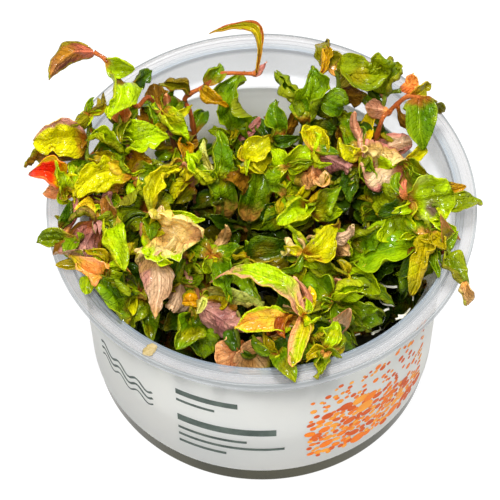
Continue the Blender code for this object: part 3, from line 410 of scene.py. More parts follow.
draw = random.Random(7)
spots = []
for trial in range(PEBBLE_TRIALS):
    along, height = draw.uniform(*PEBBLES_ALONG), draw.uniform(*PEBBLES_HIGH)
    bed_top = BED_TOP + BED_SWELL * math.sin((along - 6) / 10)
    size = draw.uniform(*PEBBLE_SIZES) if height < bed_top else draw.uniform(*BUBBLE_SIZES)
    if height > bed_top and draw.random() > BUBBLES_KEPT:
        continue
    if all(math.hypot(along - other[0], height - other[1]) > (size + other[2]) * PRESSED
           for other in spots):
        spots.append((along, height, size))
for index, (name, shade) in enumerate(orange_inks.items()):
    points, faces = [], []
    for along, height, size in spots[index::len(orange_inks)]:
        half_high = size * draw.uniform(0.6, 0.85) if size > ROUND_SPOT else size
        blot(points, faces, along, height, size, half_high, draw.uniform(-0.5, 0.5))
    ink_mesh(name, points, faces, shade)


# The growing medium is a firm gellan gel, poured warm and set in the bottom of the cup, where it
# clouds and turns olive grey as the shoots use it. Its top is uneven where stems were pushed in.
GEL_DIP = 0.35                  # how far its top lies below where it was poured to, on average
GEL_HILLS = 7                   # how far apart its hills and hollows are
GEL_RING = 3.0                  # between the rings of points on its top
GEL_RINGS = 13

# Set gel is wet, cloudy and olive grey, with darker drifts of dead tissue inside it.
set_gel, tree = blank("set_gellan_gel")
spot = add(tree, "TexCoord", out="Object")
drift = add(tree, "TexNoise", {"Vector": spot, "Scale": 70.0, "Detail": 4.0})
cloud = add(tree, "ValToRGB", {"Fac": drift}, [(0.3, "4E4C36"), (0.5, "636148"), (0.7, "7A785E")])
skin = add(tree, "Bump", {"Height": drift, "Strength": 0.4, "Distance": 0.0008})
gloss = add(tree, "MapRange", {"Value": drift, "To Min": 0.1, "To Max": 0.25})
shader = add(tree, "BsdfPrincipled", {
    "Base Color": cloud, "Roughness": gloss, "IOR": 1.34, "Normal": skin})
add(tree, "OutputMaterial", {"Surface": shader})


def gel_waver(place):
    """The gel's uneven top, a little lower than where it was poured to."""
    return -GEL_DIP * (1 + noise.noise(place / GEL_HILLS)) if place.z > GEL_TOP - 0.1 else 0.0


gel_foot = BASE_THICKNESS + GAP
gel_profile = [(0, GEL_TOP)] + [(GEL_RING * ring, GEL_TOP) for ring in range(1, GEL_RINGS + 1)]
gel_profile += [(wall_radius(GEL_TOP) - WALL - GAP, GEL_TOP),
                (wall_radius(FLOOR_CORNER) - WALL - GAP, gel_foot + FLOOR_CORNER),
                (wall_radius(0) - WALL - GAP - FLOOR_CORNER, gel_foot), (0, gel_foot)]
set_gel_disc = turned("set_gel_disc", gel_profile, gel_waver)
set_gel_disc.data.materials.append(set_gel)
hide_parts("gel")


# A smear of the gel was left on the flange at the front left when the cup was filled, and has dried
# there. It is a flat lopsided drop that lies in one of the flange's rings.
SMEAR_PLACE = (-25.3, -40.2, 58.86)
SMEAR_HALF = (1.5, 1.6, 0.16)   # half its size along x, y and z
SMEAR_LEAN = 0.7

# Dried gel is tan, glossy in places, and thin enough to let the plastic show through.
dried_gel, tree = blank("dried_gel_smear")
spot = add(tree, "TexCoord", out="Object")
blotch = add(tree, "TexNoise", {"Vector": spot, "Scale": 1500.0, "Detail": 3.0})
tan = add(tree, "ValToRGB", {"Fac": blotch}, [(0.35, "9C8648"), (0.65, "BEA870")])
skin = add(tree, "Bump", {"Height": blotch, "Strength": 0.6, "Distance": 0.0003})
shader = add(tree, "BsdfPrincipled", {
    "Base Color": tan, "Roughness": 0.42, "IOR": 1.4, "Alpha": 0.7, "Normal": skin})
add(tree, "OutputMaterial", {"Surface": shader})
solid = bmesh.new()
bmesh.ops.create_icosphere(solid, subdivisions=4, radius=1.0)
for vertex in solid.verts:
    way = vertex.co.copy()
    across = 1 + 0.35 * noise.noise(way * 1.6) + 0.15 * noise.noise(way * 4)
    x, y, z = (step * half * across for step, half in zip(way, SMEAR_HALF))
    x += way.y * SMEAR_LEAN
    vertex.co = Vector([step + place for step, place in zip((x, y, z), SMEAR_PLACE)]) * MM
smear_mesh = bpy.data.meshes.new("dried_smear")
solid.to_mesh(smear_mesh)
solid.free()
smear_mesh.materials.append(dried_gel)
smear_mesh.shade_smooth()
show("dried_smear", smear_mesh)


# The shoots are rotala grown in the gel: each is one jointed stem with soft leaves in pairs, pulled
# about and crumpled in the cup, so that many leaves are folded, rolled in or show their underside.
STEM_RADIUS = 0.75
STEM_TIP_RADIUS = 0.5
STEM_SIDES = 10
COURSE_STEP = 0.9               # between the places down a stem
BETWEEN_NODES = 0.92            # a stem's girth between its nodes, and how much it swells at them
NODE_SWELL = 0.38
NODE_SPAN = 0.9
STEM_FOOT_TINT = "5A5A14"       # low down every stem is olive
STEM_TINT_FROM = 32             # its own tint comes in from this height
STEM_TINT_RISE = 22             # and is full this much higher
LEAF_STAGGER = 1.5              # between the leaves of one node, down the stem
STAGGER_SHARE = 0.8             # the most of the stem below a node that those leaves take up
PETIOLE_WIDTH = 0.9
BLADE_FOLD = 15.0               # degrees that each half of a blade stands up from flat
NARROW_BLADE = 6.0              # the solid of a blade narrower than this has its side corners
NARROW_CUT = 0.4                # at this share of its length
BROAD_CUT = 0.3                 # and a broader blade's solid its first ones at this
OVATE_RISE = 0.6                # how fast a solid's leaf widens from its foot
OVATE_FALL = 0.8                # and narrows towards its tip
LEAF_THICKNESS = 0.22
LEAF_GRID = 0.36                # between the points of a leaf's mesh, and of four lesser kinds
WALL_GRID = 0.5
TUFT_GRID = 0.46
PARTNER_GRID = 0.55
LOWER_GRID = 0.85
SIDE_VEINS = 1.9                # between the side veins that quilt a leaf
TORN_SHARE = 0.15               # of the leaves' halves that have a nick in their margin
# a solid's leaf may be shorter, turned or lifted to clear its neighbours, by one of each of these
SETTLE_LENGTHS = (1.0, 0.85, 0.7, 0.55, 0.45)
SETTLE_TURNS = (0, 18, -18, 36, -36, 60, -60)
SETTLE_LIFTS = (0, 1.5, -1.5, 3, -3, 4.5, -4.5, 6, -6, 8, -8)
FIND = 0.06                     # how near a corner of the solid has to be to count as found
LOWEST_LEAF = 15                # the height of the lowest older leaves
# below the next height the lower leaves take darker tints, partly their own older colour and partly painted
# shade
GREEN_FROM = 34                 # the height from which more of them are still green
LEAF_REACH = 40.2               # they stay this close to the cup's middle
SHORTEST_LEAF = 3
CLOSER = 0.5                    # their spacing by the front right wall, as a share
WALL_LEAF_DROP = 3              # leaves along the wall grow from at least this far below the rim
TUFTS_FROM = 50                 # the height from which young leaves show
WALL_TUFTS_FROM = 38            # and the same where one sees down along the wall
TUFT_AT_NODE = 2                # young leaves at a node, and at the stem's tip
TUFT_AT_TIP = 4
PARTNER_REACH = 41              # the second leaf of a pair keeps to this below the rim
LONGEST_PARTNER = 9.0
RUSTY_FEET = 0.35               # the shares of the leaves with a rusty foot, and with any flush
FLUSHED_FEET = 0.6
# painted shade: the leaves' tissue darkens them by height between these two
SHADED = (43, 58)               # leaves below the first height are darkest, and above the last full

# Places are measured along lines of sight from one viewpoint, high in front of the cup: u and v
# are where such a line crosses the plane of the rim, and h is how far above that plane it stands.
VIEWPOINT = Vector((-2.8, -366.2, 579.6))


def leaf(node, u, v, h, wide, turn=0, bow=1.0, twist=0, sway=0, fold=BLADE_FOLD, tint="green", **looks):
    """A leaf: the node it grows from, the place of its tip, how its blade lies, and its looks.

    turn is how far the upper side is turned from the line of sight, so 180 shows the underside.
    bow lifts the middle of the midrib, sway bends it sideways, twist winds the blade along it.

    Looks that aren't given are drawn at random or left plain. grow widens the blade, rise and fall
    shape its outline towards foot and tip, wind twists it further, lean turns it, hook bends its
    tip up or down, and raised lifts its middle. curl rolls the halves in, or curl_left and
    curl_right one half. ruffle waves the margin, crumple creases the blade, and pleat folds it
    along its length, in that many pleats. blush with blushed tints patches, foot with foot_to the
    foot, end with end_from the tip, rim with rim_side and rim_from the margin, and spot is where
    tissue has dried.
    """
    return {"node": node, "tip": (u, v, h), "wide": wide, "turn": turn, "bow": bow,
            "twist": twist, "sway": sway, "fold": fold, "tint": tint, **looks}


# Each shoot: its stem's tint, its nodes from the lowest up as u, v, h, and its leaves. Their tips,
# widths and tints were read off one by one.
SHOOTS = {
    "tall_left": ("orange", [(-25, 27.3, 6), (-29.5, 28, 11), (-33, 33, 15), (-35.2, 37.5, 18),
                             (-37, 42, 20), (-40, 44.5, 21)], [
        leaf(5, -50.5, 36.3, 19, 6, 165, 3.0, 20, -2, tint="mauve", grow=1.15, foot="brick", foot_to=0.4,
             rim="khaki", rim_from=0.7, curl=35, rise=0.35, fall=0.8, wind=0, hook=0.0, ruffle=0.04,
             crumple=0.06),
        leaf(4, -29.7, 39.5, 20, 5, 15, 1.5, tint="lime", grow=1.5, blush="bright_green", blushed=0.5,
             pleat=0.08, ruffle=0.04, crumple=0.08),
        leaf(3, -35.5, 23.5, 17, 9.5, -10, 2.5, 15, -1.5, tint="lime", blush="olive_yellow", grow=0.9),
        leaf(2, -27, 38, 12, 4.5, 20, tint="deep_green"),
        leaf(1, -33, 23, 8, 5)]),
    "over_left": ("green", [(-39.5, 9, 1), (-40.8, 13, 4), (-41, 18, 7), (-40.5, 22.5, 9),
                            (-41, 26, 11)], [
        leaf(2, -53.8, 17.6, 9, 9, -12, 2.5, 20, 1.5, tint="lime_yellow", rim="mauve_pink", rim_side=1,
             rim_from=0.6, crumple=0.14, ruffle=0.04, curl=20, grow=1.15, wind=0, pleat=0.08,
             blush="olive_green", blushed=0.6),
        leaf(1, -55.8, 12, 6, 6, 150, 2.0, -20, tint="brown", blush="mauve_pink", blushed=0.8, curl=60,
             wind=0, rim="olive"),
        leaf(4, -36.8, 31.5, 13, 3, 30, tint="olive"),
        leaf(3, -35.2, 19.3, 8, 1.8, 40, tint="deep_green"),
        leaf(1, -46, 2.5, 2, 5, 20)]),
    "red_bud": ("green", [(-39.5, 0.5, 0.5), (-43, 2, 2.6), (-46.5, 4.5, 4)], [
        leaf(2, -54.3, 8.6, 7, 8, 10, 3.5, 0, 1.5, 30, "scarlet", curl=65, grow=1.35, rim="lime_yellow",
             rim_from=0.5, foot="lime_yellow", wind=0, rise=0.4, fall=0.45, foot_to=0.5, crumple=0.06,
             ruffle=0.04, rim_side=1, hook=0.0),
        leaf(2, -49.3, 13, 8, 5, -20, 1.5, tint="lime", grow=0.75),
        leaf(2, -50.3, 2.2, 3.5, 3.5, 30, tint="peach"),
        leaf(1, -45, 12, 6.5, 3, -15, tint="lime"),
        leaf(1, -38.5, 9.5, 2.5, 4.5, 30, tint="brown")]),
    "lower_left": ("pink", [(-39.5, -8.5, 0.5), (-43, -10, 2.4), (-46.5, -7.5, 3.4)], [
        leaf(1, -51.8, -11, 3, 5.5, -5, tint="olive_green"),
        leaf(1, -44.8, -14.8, 2.2, 4.5, 15),
        leaf(2, -44.3, 0.5, 4, 3.6, 30, tint="deep_green"),
        leaf(2, -42.5, 3, 6.5, 2.2, 170, tint="pink"),
        leaf(2, -50.2, 1.6, 4.5, 2.2, 70, 0.5, 0, 1, tint="olive")]),
    "butter_left": ("green", [(-27, 3, -4), (-30.5, 8.3, 5)], [
        leaf(1, -43.8, 1.5, 6, 7, 5, 2.0, 0, 2.5, tint="lime_yellow", pleat=0.12, pleats=2.4, curl=40,
             wind=0, blush="lime", blushed=0.6, end="lime_yellow"),
        leaf(1, -38.8, 13.5, 9, 8, -25, 1.5, tint="butter", pleat=0.12, pleats=2.2, grow=1.2,
             end="olive_yellow", ruffle=0.05, crumple=0.08, blush="lime", blushed=0.6),
        leaf(1, -26, 5, 4, 3.2, 20, tint="lime_yellow"),
        leaf(0, -37.5, 0.5, 0, 5, 160, tint="brown")]),
    "mauve_left": ("yellow", [(-33.5, -3.5, -3), (-35.6, -5.1, 2.6), (-38.5, -5.3, 4)], [
        leaf(2, -42, -14.2, 4, 8.5, 175, 1.5, 0, 1, tint="mauve_pink", crumple=0.16, grow=1.5,
             rim="brown", rim_from=0.75, raised=1.5, curl=20, pleat=0.1, pleats=2.0, wind=0),
        leaf(1, -39.6, -0.4, 5.5, 5, 185, tint="mauve", grow=1.4, raised=1.0),
        leaf(2, -43.5, -2.3, 6, 3.6, 150, 2.0, 0, -1.5, tint="butter", curl=120, grow=1.2),
        leaf(1, -31.3, -19.6, 5, 6, -5, 2.0, 15, 1, tint="lime", wind=10),
        leaf(1, -43.2, 2, 3.5, 5.5, 165, tint="mauve")]),
    "orange_curl": ("peach", [(-32.5, -15.5, -2), (-34, -16.5, 1.6), (-36.5, -18.8, 3)], [
        leaf(2, -43.6, -14.6, 3.8, 6.5, 12, 2.5, 0, -2, 25, "orange", curl=80, grow=1.3, rim="peach",
             rim_from=0.5, foot="gold", foot_to=0.5, end="olive_yellow", wind=0, pleat=0.05),
        leaf(1, -40.5, -15.6, 3, 4, 10, tint="olive_yellow"),
        leaf(2, -47.2, -17, 2.4, 3.2, 10, 0.5, tint="olive_yellow"),
        leaf(1, -34.5, -20.2, 2, 3, tint="lime")]),
    "red_oval": ("orange", [(-25, -1.5, -6), (-27, -3, -3), (-31, 0, -1.5), (-33.8, 2.4, 0)], [
        leaf(1, -36, -4.5, -2, 8.5, 5, 1.0, 0, 1.5, tint="olive_green", grow=1.3),
        leaf(3, -26.5, 3.3, -1.5, 5.5, -15, 1.5, tint="deep_green"),
        leaf(2, -28.5, -2.6, 1, 2.2, 15, tint="orange")]),
    "pendant": ("brown", [(-23.5, -10, -4), (-24.6, -15.4, 5)], [
        leaf(1, -24.4, -31.8, 4.5, 9, 178, 1.5, -10, 0.5, 10, "blush", rise=0.22, fall=1.1, foot="tan",
             foot_to=0.25, end="tan", end_from=0.7, blush="mauve_pink", blushed=0.9, wind=0, grow=0.9,
             ruffle=0.03, crumple=0.05, pleat=0.03, curl=50),
        leaf(1, -21.4, -17.8, 6, 2.6, 150, 0.5, tint="orange"),
        leaf(1, -29.3, -14.4, 6.5, 4.5, 170, 0.8, tint="cream")]),
    "crumpled_cream": ("yellow", [(-22.5, -1, -6), (-25.6, -3.8, 6.5)], [
        leaf(1, -14, -10.4, 6.5, 11, 10, 2.5, -20, 1.5, 25, "bright_cream", crumple=0.26, grow=1.35,
             ruffle=0.03, pleat=0.1, pleats=1.6, foot="butter", end="tan", end_from=0.75, blush="tan",
             blushed=0.35, curl=20, curl_left=60, rise=0.35, fall=0.4, wind=0, rim="lime", rim_side=1,
             rim_from=0.6),
        leaf(1, -18.8, 9.9, 9.5, 7.5, -12, 2.5, 15, -2, 20, "lime_yellow", grow=1.1, wind=20,
             blush="pale", ruffle=0.05, crumple=0.1),
        leaf(1, -26, -13.8, 6, 5.5, 165, 1.5, 0, 0.5, tint="peach"),
        leaf(1, -13.2, -4.8, 8.5, 3.5, -10, 1.0, 0, 1, tint="lime")]),
    "bell_curl": ("green", [(-9, -4, -9), (-9.3, 3, -3), (-10.6, 6.5, 2)], [
        leaf(0, -9.6, 20.2, 8, 8, 0, 1.5, 10, 0, 20, grow=1.15, curl_left=90, wind=20, raised=2.0,
             ruffle=0.05),
        leaf(2, -17.3, 14.6, 8, 7, -15, 2.0, 20, -1, 25, "lime", curl=110, grow=1.1),
        leaf(2, -13.8, 18, 8, 4, -10, tint="pale", grow=0.9),
        leaf(0, -16.5, -1.5, -7, 4, 20, tint="deep_green")]),
    "ochre_fold": ("peach", [(-16.3, 6.5, 2), (-18.6, 11.5, 5.5)], [
        leaf(1, -26, 7.4, 6.5, 4.2, -15, 1.0, 0, 1, tint="olive_yellow"),
        leaf(1, -17.6, 17.3, 8.5, 5.5, 15, tint="ochre"),
        leaf(1, -16.6, 10.2, 7, 3.2, tint="lime_yellow")]),
    "lime_fold": ("peach", [(-30.8, 14.5, 4), (-33, 20, 8), (-32.7, 23, 11)], [
        leaf(0, -21.2, 19, 9, 7.5, -10, 2.5, 20, -2, 25, "lime", curl_right=110, blush="green", grow=1.4,
             raised=1.5, crumple=0.12, pleat=0.1),
        leaf(0, -24, 9.3, 5, 5.8, 15, tint="ochre"),
        leaf(2, -32.4, 28.4, 14, 5.5, 0, 0.5, tint="orange"),
        leaf(1, -36.3, 28.8, 11, 4.5, 10, tint="deep_green"),
        leaf(0, -28.8, 9, 3, 3.6, 10, tint="olive_green")]),
    "star_left": ("orange", [(-16, 22, 3), (-18, 29, 8), (-17, 31.5, 10), (-13, 34, 12),
                             (-9.5, 37.5, 14), (-1, 37.5, 15)], [
        leaf(5, -12.4, 49.4, 20, 5.5, 15, 2.0, 30, 7, 20, "olive_yellow", grow=0.7, rim="rust",
             rim_from=0.55, blush="green", blushed=0.7, wind=0, ruffle=0.03, crumple=0.05),
        leaf(2, -24, 34, 12.5, 8.5, 10, 2.0, 0, 1, 25, "olive", grow=0.85, blush="lime", rim="brown",
             rim_from=0.7, ruffle=0.05, crumple=0.08),
        leaf(3, -10.3, 40.8, 14, 5, 15, 1.5),
        leaf(5, 1.4, 41, 17, 1.9, 160, tint="pink"),
        leaf(3, -8.4, 27.7, 11, 4.5, 10, tint="ochre"),
        leaf(1, -22, 24.5, 7, 5, 10)]),
    "back_left": ("brown", [(-20.5, 16, 2), (-22, 21, 6), (-23.3, 26.5, 9)], [
        leaf(2, -17.8, 18.6, 8, 5.8, 5, 2.0, tint="lime"),
        leaf(1, -29.4, 27.5, 8, 6, 10),
        leaf(2, -22.6, 31.8, 11, 3, 170, tint="peach"),
        leaf(0, -14.8, 18.4, 3.5, 4.2, 170, tint="brown")]),
    "back_funnel": ("green", [(-6.5, 17, -2), (-7, 21, 2)], [
        leaf(1, -5.8, 37.6, 12, 9.5, -5, 2.0, 0, 0, 30, grow=1.2, curl_left=90, curl_right=60,
             ruffle=0.05),
        leaf(1, -12.2, 20.6, 6, 3.4, 10, tint="lime"),
        leaf(0, -0.2, 20.5, 2.5, 4, 10, tint="deep_green"),
        leaf(1, -0.6, 23.4, 6, 2.4, 165, tint="pink")]),
    "lime_brown": ("pale", [(-5, 6, -3), (-3.2, 11.6, 4)], [
        leaf(1, 1.8, 18.8, 7.5, 6, -10, 1.5, tint="lime_yellow", blush="lime", blushed=0.7),
        leaf(1, -6.3, 6, 4, 6.5, 165, tint="brown"),
        leaf(1, 2.6, 12.4, 6, 3.4, 10, tint="lime_yellow")]),
    "upright_green": ("green", [(-3, -7.5, -13), (-2.8, -5.5, -9)], [
        leaf(1, -0.8, 12.8, 1.5, 7.5, 0, 1.0, 0, -0.5, 10, grow=1.4, ruffle=0.04, crumple=0.05,
             raised=1.5),
        leaf(0, -15, -5.5, -9, 5, 15, tint="deep_green"),
        leaf(0, 4.5, -7.5, -11, 4.5, 15, tint="deep_green")]),
    "tongue": ("green", [(3, 13, -2), (3.6, 18, 2.5)], [
        leaf(1, 2.8, 29, 9, 5.6, 0, 1.0, 0, 0.5, 10),
        leaf(1, 8.8, 18, 5, 4.4, 10, 1.5, tint="deep_green"),
        leaf(1, 8.2, 25, 7.5, 4, 170, tint="brown"),
        leaf(0, -2, 24.5, 2.5, 5, 10, tint="deep_green")]),
    "lime_centre": ("green", [(5, 3.5, -4), (6.2, 10, 3.5)], [
        leaf(1, 10.9, 16.8, 7.5, 5, 0, 1.2, tint="lime", grow=1.3, ruffle=0.05),
        leaf(1, 2.8, 15.4, 7, 4, 10, tint="lime"),
        leaf(1, 11, 9.8, 4.5, 3.8, 160, tint="brown"),
        leaf(1, 1.2, 9.6, 5, 3.4, 10, tint="lime")]),
    "vee_centre": ("brown", [(4.5, -1.5, -5), (5, 1.3, -0.5)], [
        leaf(1, 1.6, 9.2, 3.4, 3.4),
        leaf(1, 5.6, 8, 3.5, 3.4, 5, 1.5, tint="lime", grow=1.3),
        leaf(1, 11.6, 5.8, 3.5, 3.6, 10, tint="lime_yellow"),
        leaf(0, -0.5, -5.5, -6, 3.6, 15, tint="deep_green")]),
    "peach_crumple": ("orange", [(12.5, 8, -2), (12.6, 14.6, 7.5)], [
        leaf(1, 14.6, 5, 7.5, 8, 172, 3.0, 20, -1, 25, "peach_orange", grow=1.3, crumple=0.3, curl=15,
             wind=0, pleat=0.12, pleats=1.5, rim="khaki", foot="olive_yellow", foot_to=0.3, ruffle=0.04),
        leaf(1, 15.3, 20.4, 9.5, 7, -5, 2.0, 0, -1.5, 15, "lime_yellow", curl=70, grow=1.15),
        leaf(1, 20.5, 9.3, 7.5, 6, 165, 1.5, 0, 1.5, 20, "mauve_pink", ruffle=0.05, crumple=0.2)]),
    "tall_back": ("green", [(9.5, 18, -2), (11, 22, 4), (14.3, 30, 9), (14.4, 37, 12)], [
        leaf(1, 12.2, 39.6, 12.5, 10, 5, 2.0, 0, 0.5, 20, grow=1.2, curl_left=70, blush="lime",
             ruffle=0.08, crumple=0.2, pleat=0.12, pleats=1.5),
        leaf(1, 5, 37.5, 11.5, 8.5, -5, 2.0, 0, -0.5, 20, grow=1.15, curl_right=90, ruffle=0.08,
             crumple=0.2, pleat=0.12, pleats=1.5),
        leaf(3, 16.6, 44.8, 15, 4, 10, tint="ochre"),
        leaf(2, 19.8, 27.5, 8.5, 6, 10),
        leaf(1, 17.6, 20.5, 5, 5.5, 15, tint="deep_green")]),
    "back_right": ("green", [(18, 26, 2), (18.7, 33, 7), (18.4, 38.3, 10)], [
        leaf(2, 32, 41.5, 13, 8.8, -12, 2.5, 20, 3, 20, "olive_green", ruffle=0.05, crumple=0.2,
             curl_left=20, pleat=0.12, pleats=1.5),
        leaf(2, 15.6, 47.7, 13.5, 5, 10, tint="olive"),
        leaf(1, 25.4, 41.8, 9, 4.4, 20, tint="khaki"),
        leaf(1, 24.8, 30.5, 6, 5.4, 165, tint="brown"),
        leaf(0, 12.5, 30, 3, 5, 10, tint="deep_green")]),
    "right_back": ("green", [(28.5, 24, 2), (30, 30.8, 7), (33.5, 32, 9)], [
        leaf(1, 31.3, 41.3, 11.5, 7.8, 0, 2.0, 0, 0, 25, "olive_green", ruffle=0.05, crumple=0.2,
             pleat=0.12, pleats=1.5),
        leaf(2, 36.8, 37, 12, 4.8, 150, 1.5, tint="orange"),
        leaf(1, 25.2, 41.2, 13.5, 3.2, 170, tint="mauve_pink"),
        leaf(1, 24, 35.5, 7.5, 4.5, 15, tint="deep_green")]),
    "right_top": ("orange", [(27.5, 19, 2), (30.5, 25.5, 6), (32.6, 28, 8.5), (35, 30.2, 10),
                             (38, 29.8, 11)], [
        leaf(4, 38.6, 15, 8, 7, -5, 2.0, 0, 1, 20, grow=1.5, curl=5, blush="olive", ruffle=0.06,
             crumple=0.1, blushed=0.8),
        leaf(4, 43.2, 25, 10, 4, 10, tint="olive", grow=1.5),
        leaf(2, 35.6, 21.2, 8, 4.4, 165, tint="brown"),
        leaf(1, 25, 26.8, 7.5, 4.4, 165, tint="salmon"),
        leaf(4, 40.8, 34, 12, 3.4, 10, tint="olive_yellow")]),
    "ball_curl": ("lime", [(31, 6, -3), (33.6, 11.2, 4.5)], [
        leaf(1, 24.6, 14.8, 8.5, 6.5, 175, 3.0, 0, 1, 30, "cream", curl_left=45, curl_right=10, grow=1.5,
             rim="pink", rim_from=0.6, blush="blush", blushed=0.9, rise=0.4, fall=0.5, pleat=0.12,
             pleats=1.4, crumple=0.3, ruffle=0.1, wind=0),
        leaf(1, 23.4, 10.6, 5, 5.5, 10, 2.0, 0, -2, 25, "cream_in_green", curl=95, grow=1.9,
             blush="blush", blushed=0.5, wind=0, rise=0.4, fall=0.4, lean=-45, rim="pink", rim_from=0.75,
             crumple=0.12, pleat=0.06, ruffle=0.05),
        leaf(1, 47.4, 4.2, 8, 9.5, 0, 2.0, 0, 4, grow=1.0, end="ochre", end_from=0.6, hook=-0.1, wind=0,
             ruffle=0.03, crumple=0.05, curl=20),
        leaf(0, 24.5, 2.5, -3.5, 5.5, 15, tint="deep_green")]),
    "salmon_curl": ("yellow", [(22.8, 8, -2), (23.6, 13.4, 4)], [
        leaf(1, 22.6, 26, 10, 4.2, 165, 1.5, 0, 1, tint="salmon", grow=0.9, wind=20, blush="blush",
             foot="blush", crumple=0.12, pleat=0.1, pleats=2.0),
        leaf(1, 19.6, 24.8, 6.5, 5.6, 0, 1.5, 0, 1, grow=1.3),
        leaf(1, 27.5, 24.3, 8.5, 4, 15, 1.5, tint="yellow"),
        leaf(1, 35.2, 17.2, 9, 5, 170, 2.0, 20, 1.5, tint="blush", grow=1.4, rise=0.4, fall=0.4, curl=40,
             rim="pink", foot="cream", crumple=0.12, pleat=0.1, pleats=2.4, wind=0)]),
    "right_edge": ("lime", [(32.5, -2.5, -3), (33.6, 0, 3.4)], [
        leaf(1, 44.2, 1.6, 4, 6.4, 0, 1.5, 0, 0.5, 20, "lime", grow=2.0, blush="pale", pleat=0.1,
             rise=0.4, fall=0.45, curl=35, crumple=0.2, wind=0, blushed=0.85, spot=(0.5, 0.45)),
        leaf(1, 35.2, -12.6, 4.5, 10, 0, 2.0, 0, 1.5, 15, "lime", grow=1.1, curl_left=70, wind=10),
        leaf(1, 43.4, -8, 6, 4.2, 175, 1.5, 0, 0.5, 20, "brick", rim="brick", end="salmon", grow=1.7,
             raised=6.5, curl=5, wind=0, crumple=0.08, ruffle=0.04),
        leaf(0, 24, -4.5, -4, 4.5, 15, tint="deep_green")]),
    "right_points": ("green", [(38.5, -4, 1), (41.5, -2.5, 3.5)], [
        leaf(1, 50.6, -2.8, 5, 6, 5, 1.5, 0, 0.5, 20, "olive_green"),
        leaf(1, 45.2, -9.4, 4.5, 5, 10, tint="lime"),
        leaf(0, 39, 6, 1.5, 5, 20)]),
    "right_pendant": ("green", [(38.8, -12, 0), (42.8, -15, 3.6), (45, -19, 3.6),
                                (46.2, -22.6, 3)], [
        leaf(1, 46.4, -23.2, 3.4, 6, -10, 1.0, 0, 1.8, 15, "olive_green"),
        leaf(3, 46.3, -29.2, 0.8, 4.2, 10, 0.5, 0, 0.5, 15, "tan"),
        leaf(0, 40, -20, 2.4, 3.2, 10),
        leaf(1, 44.6, -8.6, 4, 2.2, 10)]),
    "right_front": ("green", [(35.5, -6.5, -3), (38.8, -9.6, 2.6)], [
        leaf(1, 34.3, -24.4, 2, 6.2, 5, 1.5, 0, 0.5, 15, "olive_yellow", grow=1.1, pleat=0.1, ruffle=0.05,
             blush="lime"),
        leaf(0, 27, -2, -4, 5, 15)]),
    "big_green": ("green", [(33, -14.5, -12), (35.4, -13.2, -4)], [
        leaf(1, 20.2, -17.8, -1, 10.5, -5, 2.5, 0, -1, 15, "bright_green", grow=1.6, wind=0, hook=0.05,
             curl_left=50, curl_right=-20, ruffle=0.03, crumple=0.05, pleat=0.03, blush="lime",
             blushed=0.5, raised=2.5),
        leaf(1, 20, -21.6, -5, 6.5, 10, 1.5, 0, -1.5, 15, "deep_green")]),
    "blush_right": ("brown", [(14.5, -13, -5), (15.4, -9.8, 3.4)], [
        leaf(1, 21, -6.9, 5.5, 5, 172, 1.0, 0, -1, 20, "blush"),
        leaf(1, 20.2, -15.2, 5, 4.6, 170, 1.0, 0, 1, 20, "tan"),
        leaf(1, 14.2, -14.6, 3, 3.4, 165, tint="brown"),
        leaf(0, 11, -12.4, -1, 4, 10)]),
    "cream_lip": ("lime", [(8.6, -19.5, -5), (9.4, -14.8, 2.8)], [
        leaf(1, 17, -6.6, 6.5, 8.5, 0, 2.0, 10, 2, 20, "lime_yellow", curl_right=80, grow=1.0,
             ruffle=0.05, crumple=0.08, blush="lime", blushed=0.6),
        leaf(1, 5.6, -14.2, 4.5, 5, 170, 2.0, 0, -1.5, 25, "cream"),
        leaf(1, 12.6, -18.7, 4, 3.8, 5, tint="lime"),
        leaf(1, 8.3, -22.6, 5, 3.4, tint="lime_yellow"),
        leaf(1, 6, -6, 5, 3.6, -10, 1.5, 0, 2, tint="lime")]),
    "lime_middle": ("brown", [(12, -5, -6), (10.5, -1.6, 0.5)], [
        leaf(1, 3.8, -6.4, 4, 5.6, 5, 1.5, 0, 1, 20, "lime", grow=1.4),
        leaf(1, 17.4, 4, 4.5, 5.8, -10, 1.5, 0, 1, 20, grow=1.4),
        leaf(1, 18.6, -3.2, 3.5, 4, 10, 1.5, tint="lime"),
        leaf(0, 20, 1.5, -4, 5, 15, tint="deep_green")]),
    "dark_middle": ("brown", [(19.5, -12.5, -10), (20.6, -10.8, -5)], [
        leaf(1, 28, -7.8, -3, 5.6, -5, 1.5, 0, 1, grow=1.5),
        leaf(1, 27.6, -12.4, -6, 4.4, 10, tint="olive_green")]),
    "green_shade": ("green", [(25.5, -4, -12), (26.2, -1.5, -8)], [
        leaf(1, 28.2, 7.4, -3.5, 5.6, 0, 1.5, grow=1.4),
        leaf(1, 32.6, -0.6, -6, 5, 10, tint="deep_green"),
        leaf(0, 19, 6, -10, 5.4, 15, tint="deep_green")]),
    "glossy_front": ("green", [(-12, -18, -6), (-11.6, -14.9, 0.4)], [
        leaf(1, -7.4, -27.4, 1.6, 6.2, 0, 1.5, 0, -0.5, 20),
        leaf(1, -13.2, -20.4, 1.4, 3.4, 10, tint="lime"),
        leaf(1, -7.6, -6.6, 3.4, 3.2, 172, 0.8, tint="tan"),
        leaf(1, -4.6, -12.6, 0.6, 4.2, 5),
        leaf(0, -16.5, -11, -5, 4.5, 10, tint="deep_green")]),
    "broad_dark": ("brown", [(-3.5, -17.5, -8), (-3.4, -15.8, -4)], [
        leaf(1, 7.2, -12.2, -1, 9, 5, 1.5, 0, 1, 15, "deep_green", grow=1.3, curl=30, ruffle=0.04,
             crumple=0.06),
        leaf(1, 6.6, -18.4, -3.5, 6, 10, 1.5, tint="deep_green"),
        leaf(1, -1, -26.6, -3, 5.4, 0, 1.5, 0, 1)]),
    "long_twist": ("lime", [(7.6, -33, -5), (9.2, -31.4, 3)], [
        leaf(1, -9.8, -17.2, 8, 7.5, 40, 2.0, 0, 2.0, 12, "lime", rim="salmon", rim_side=-1,
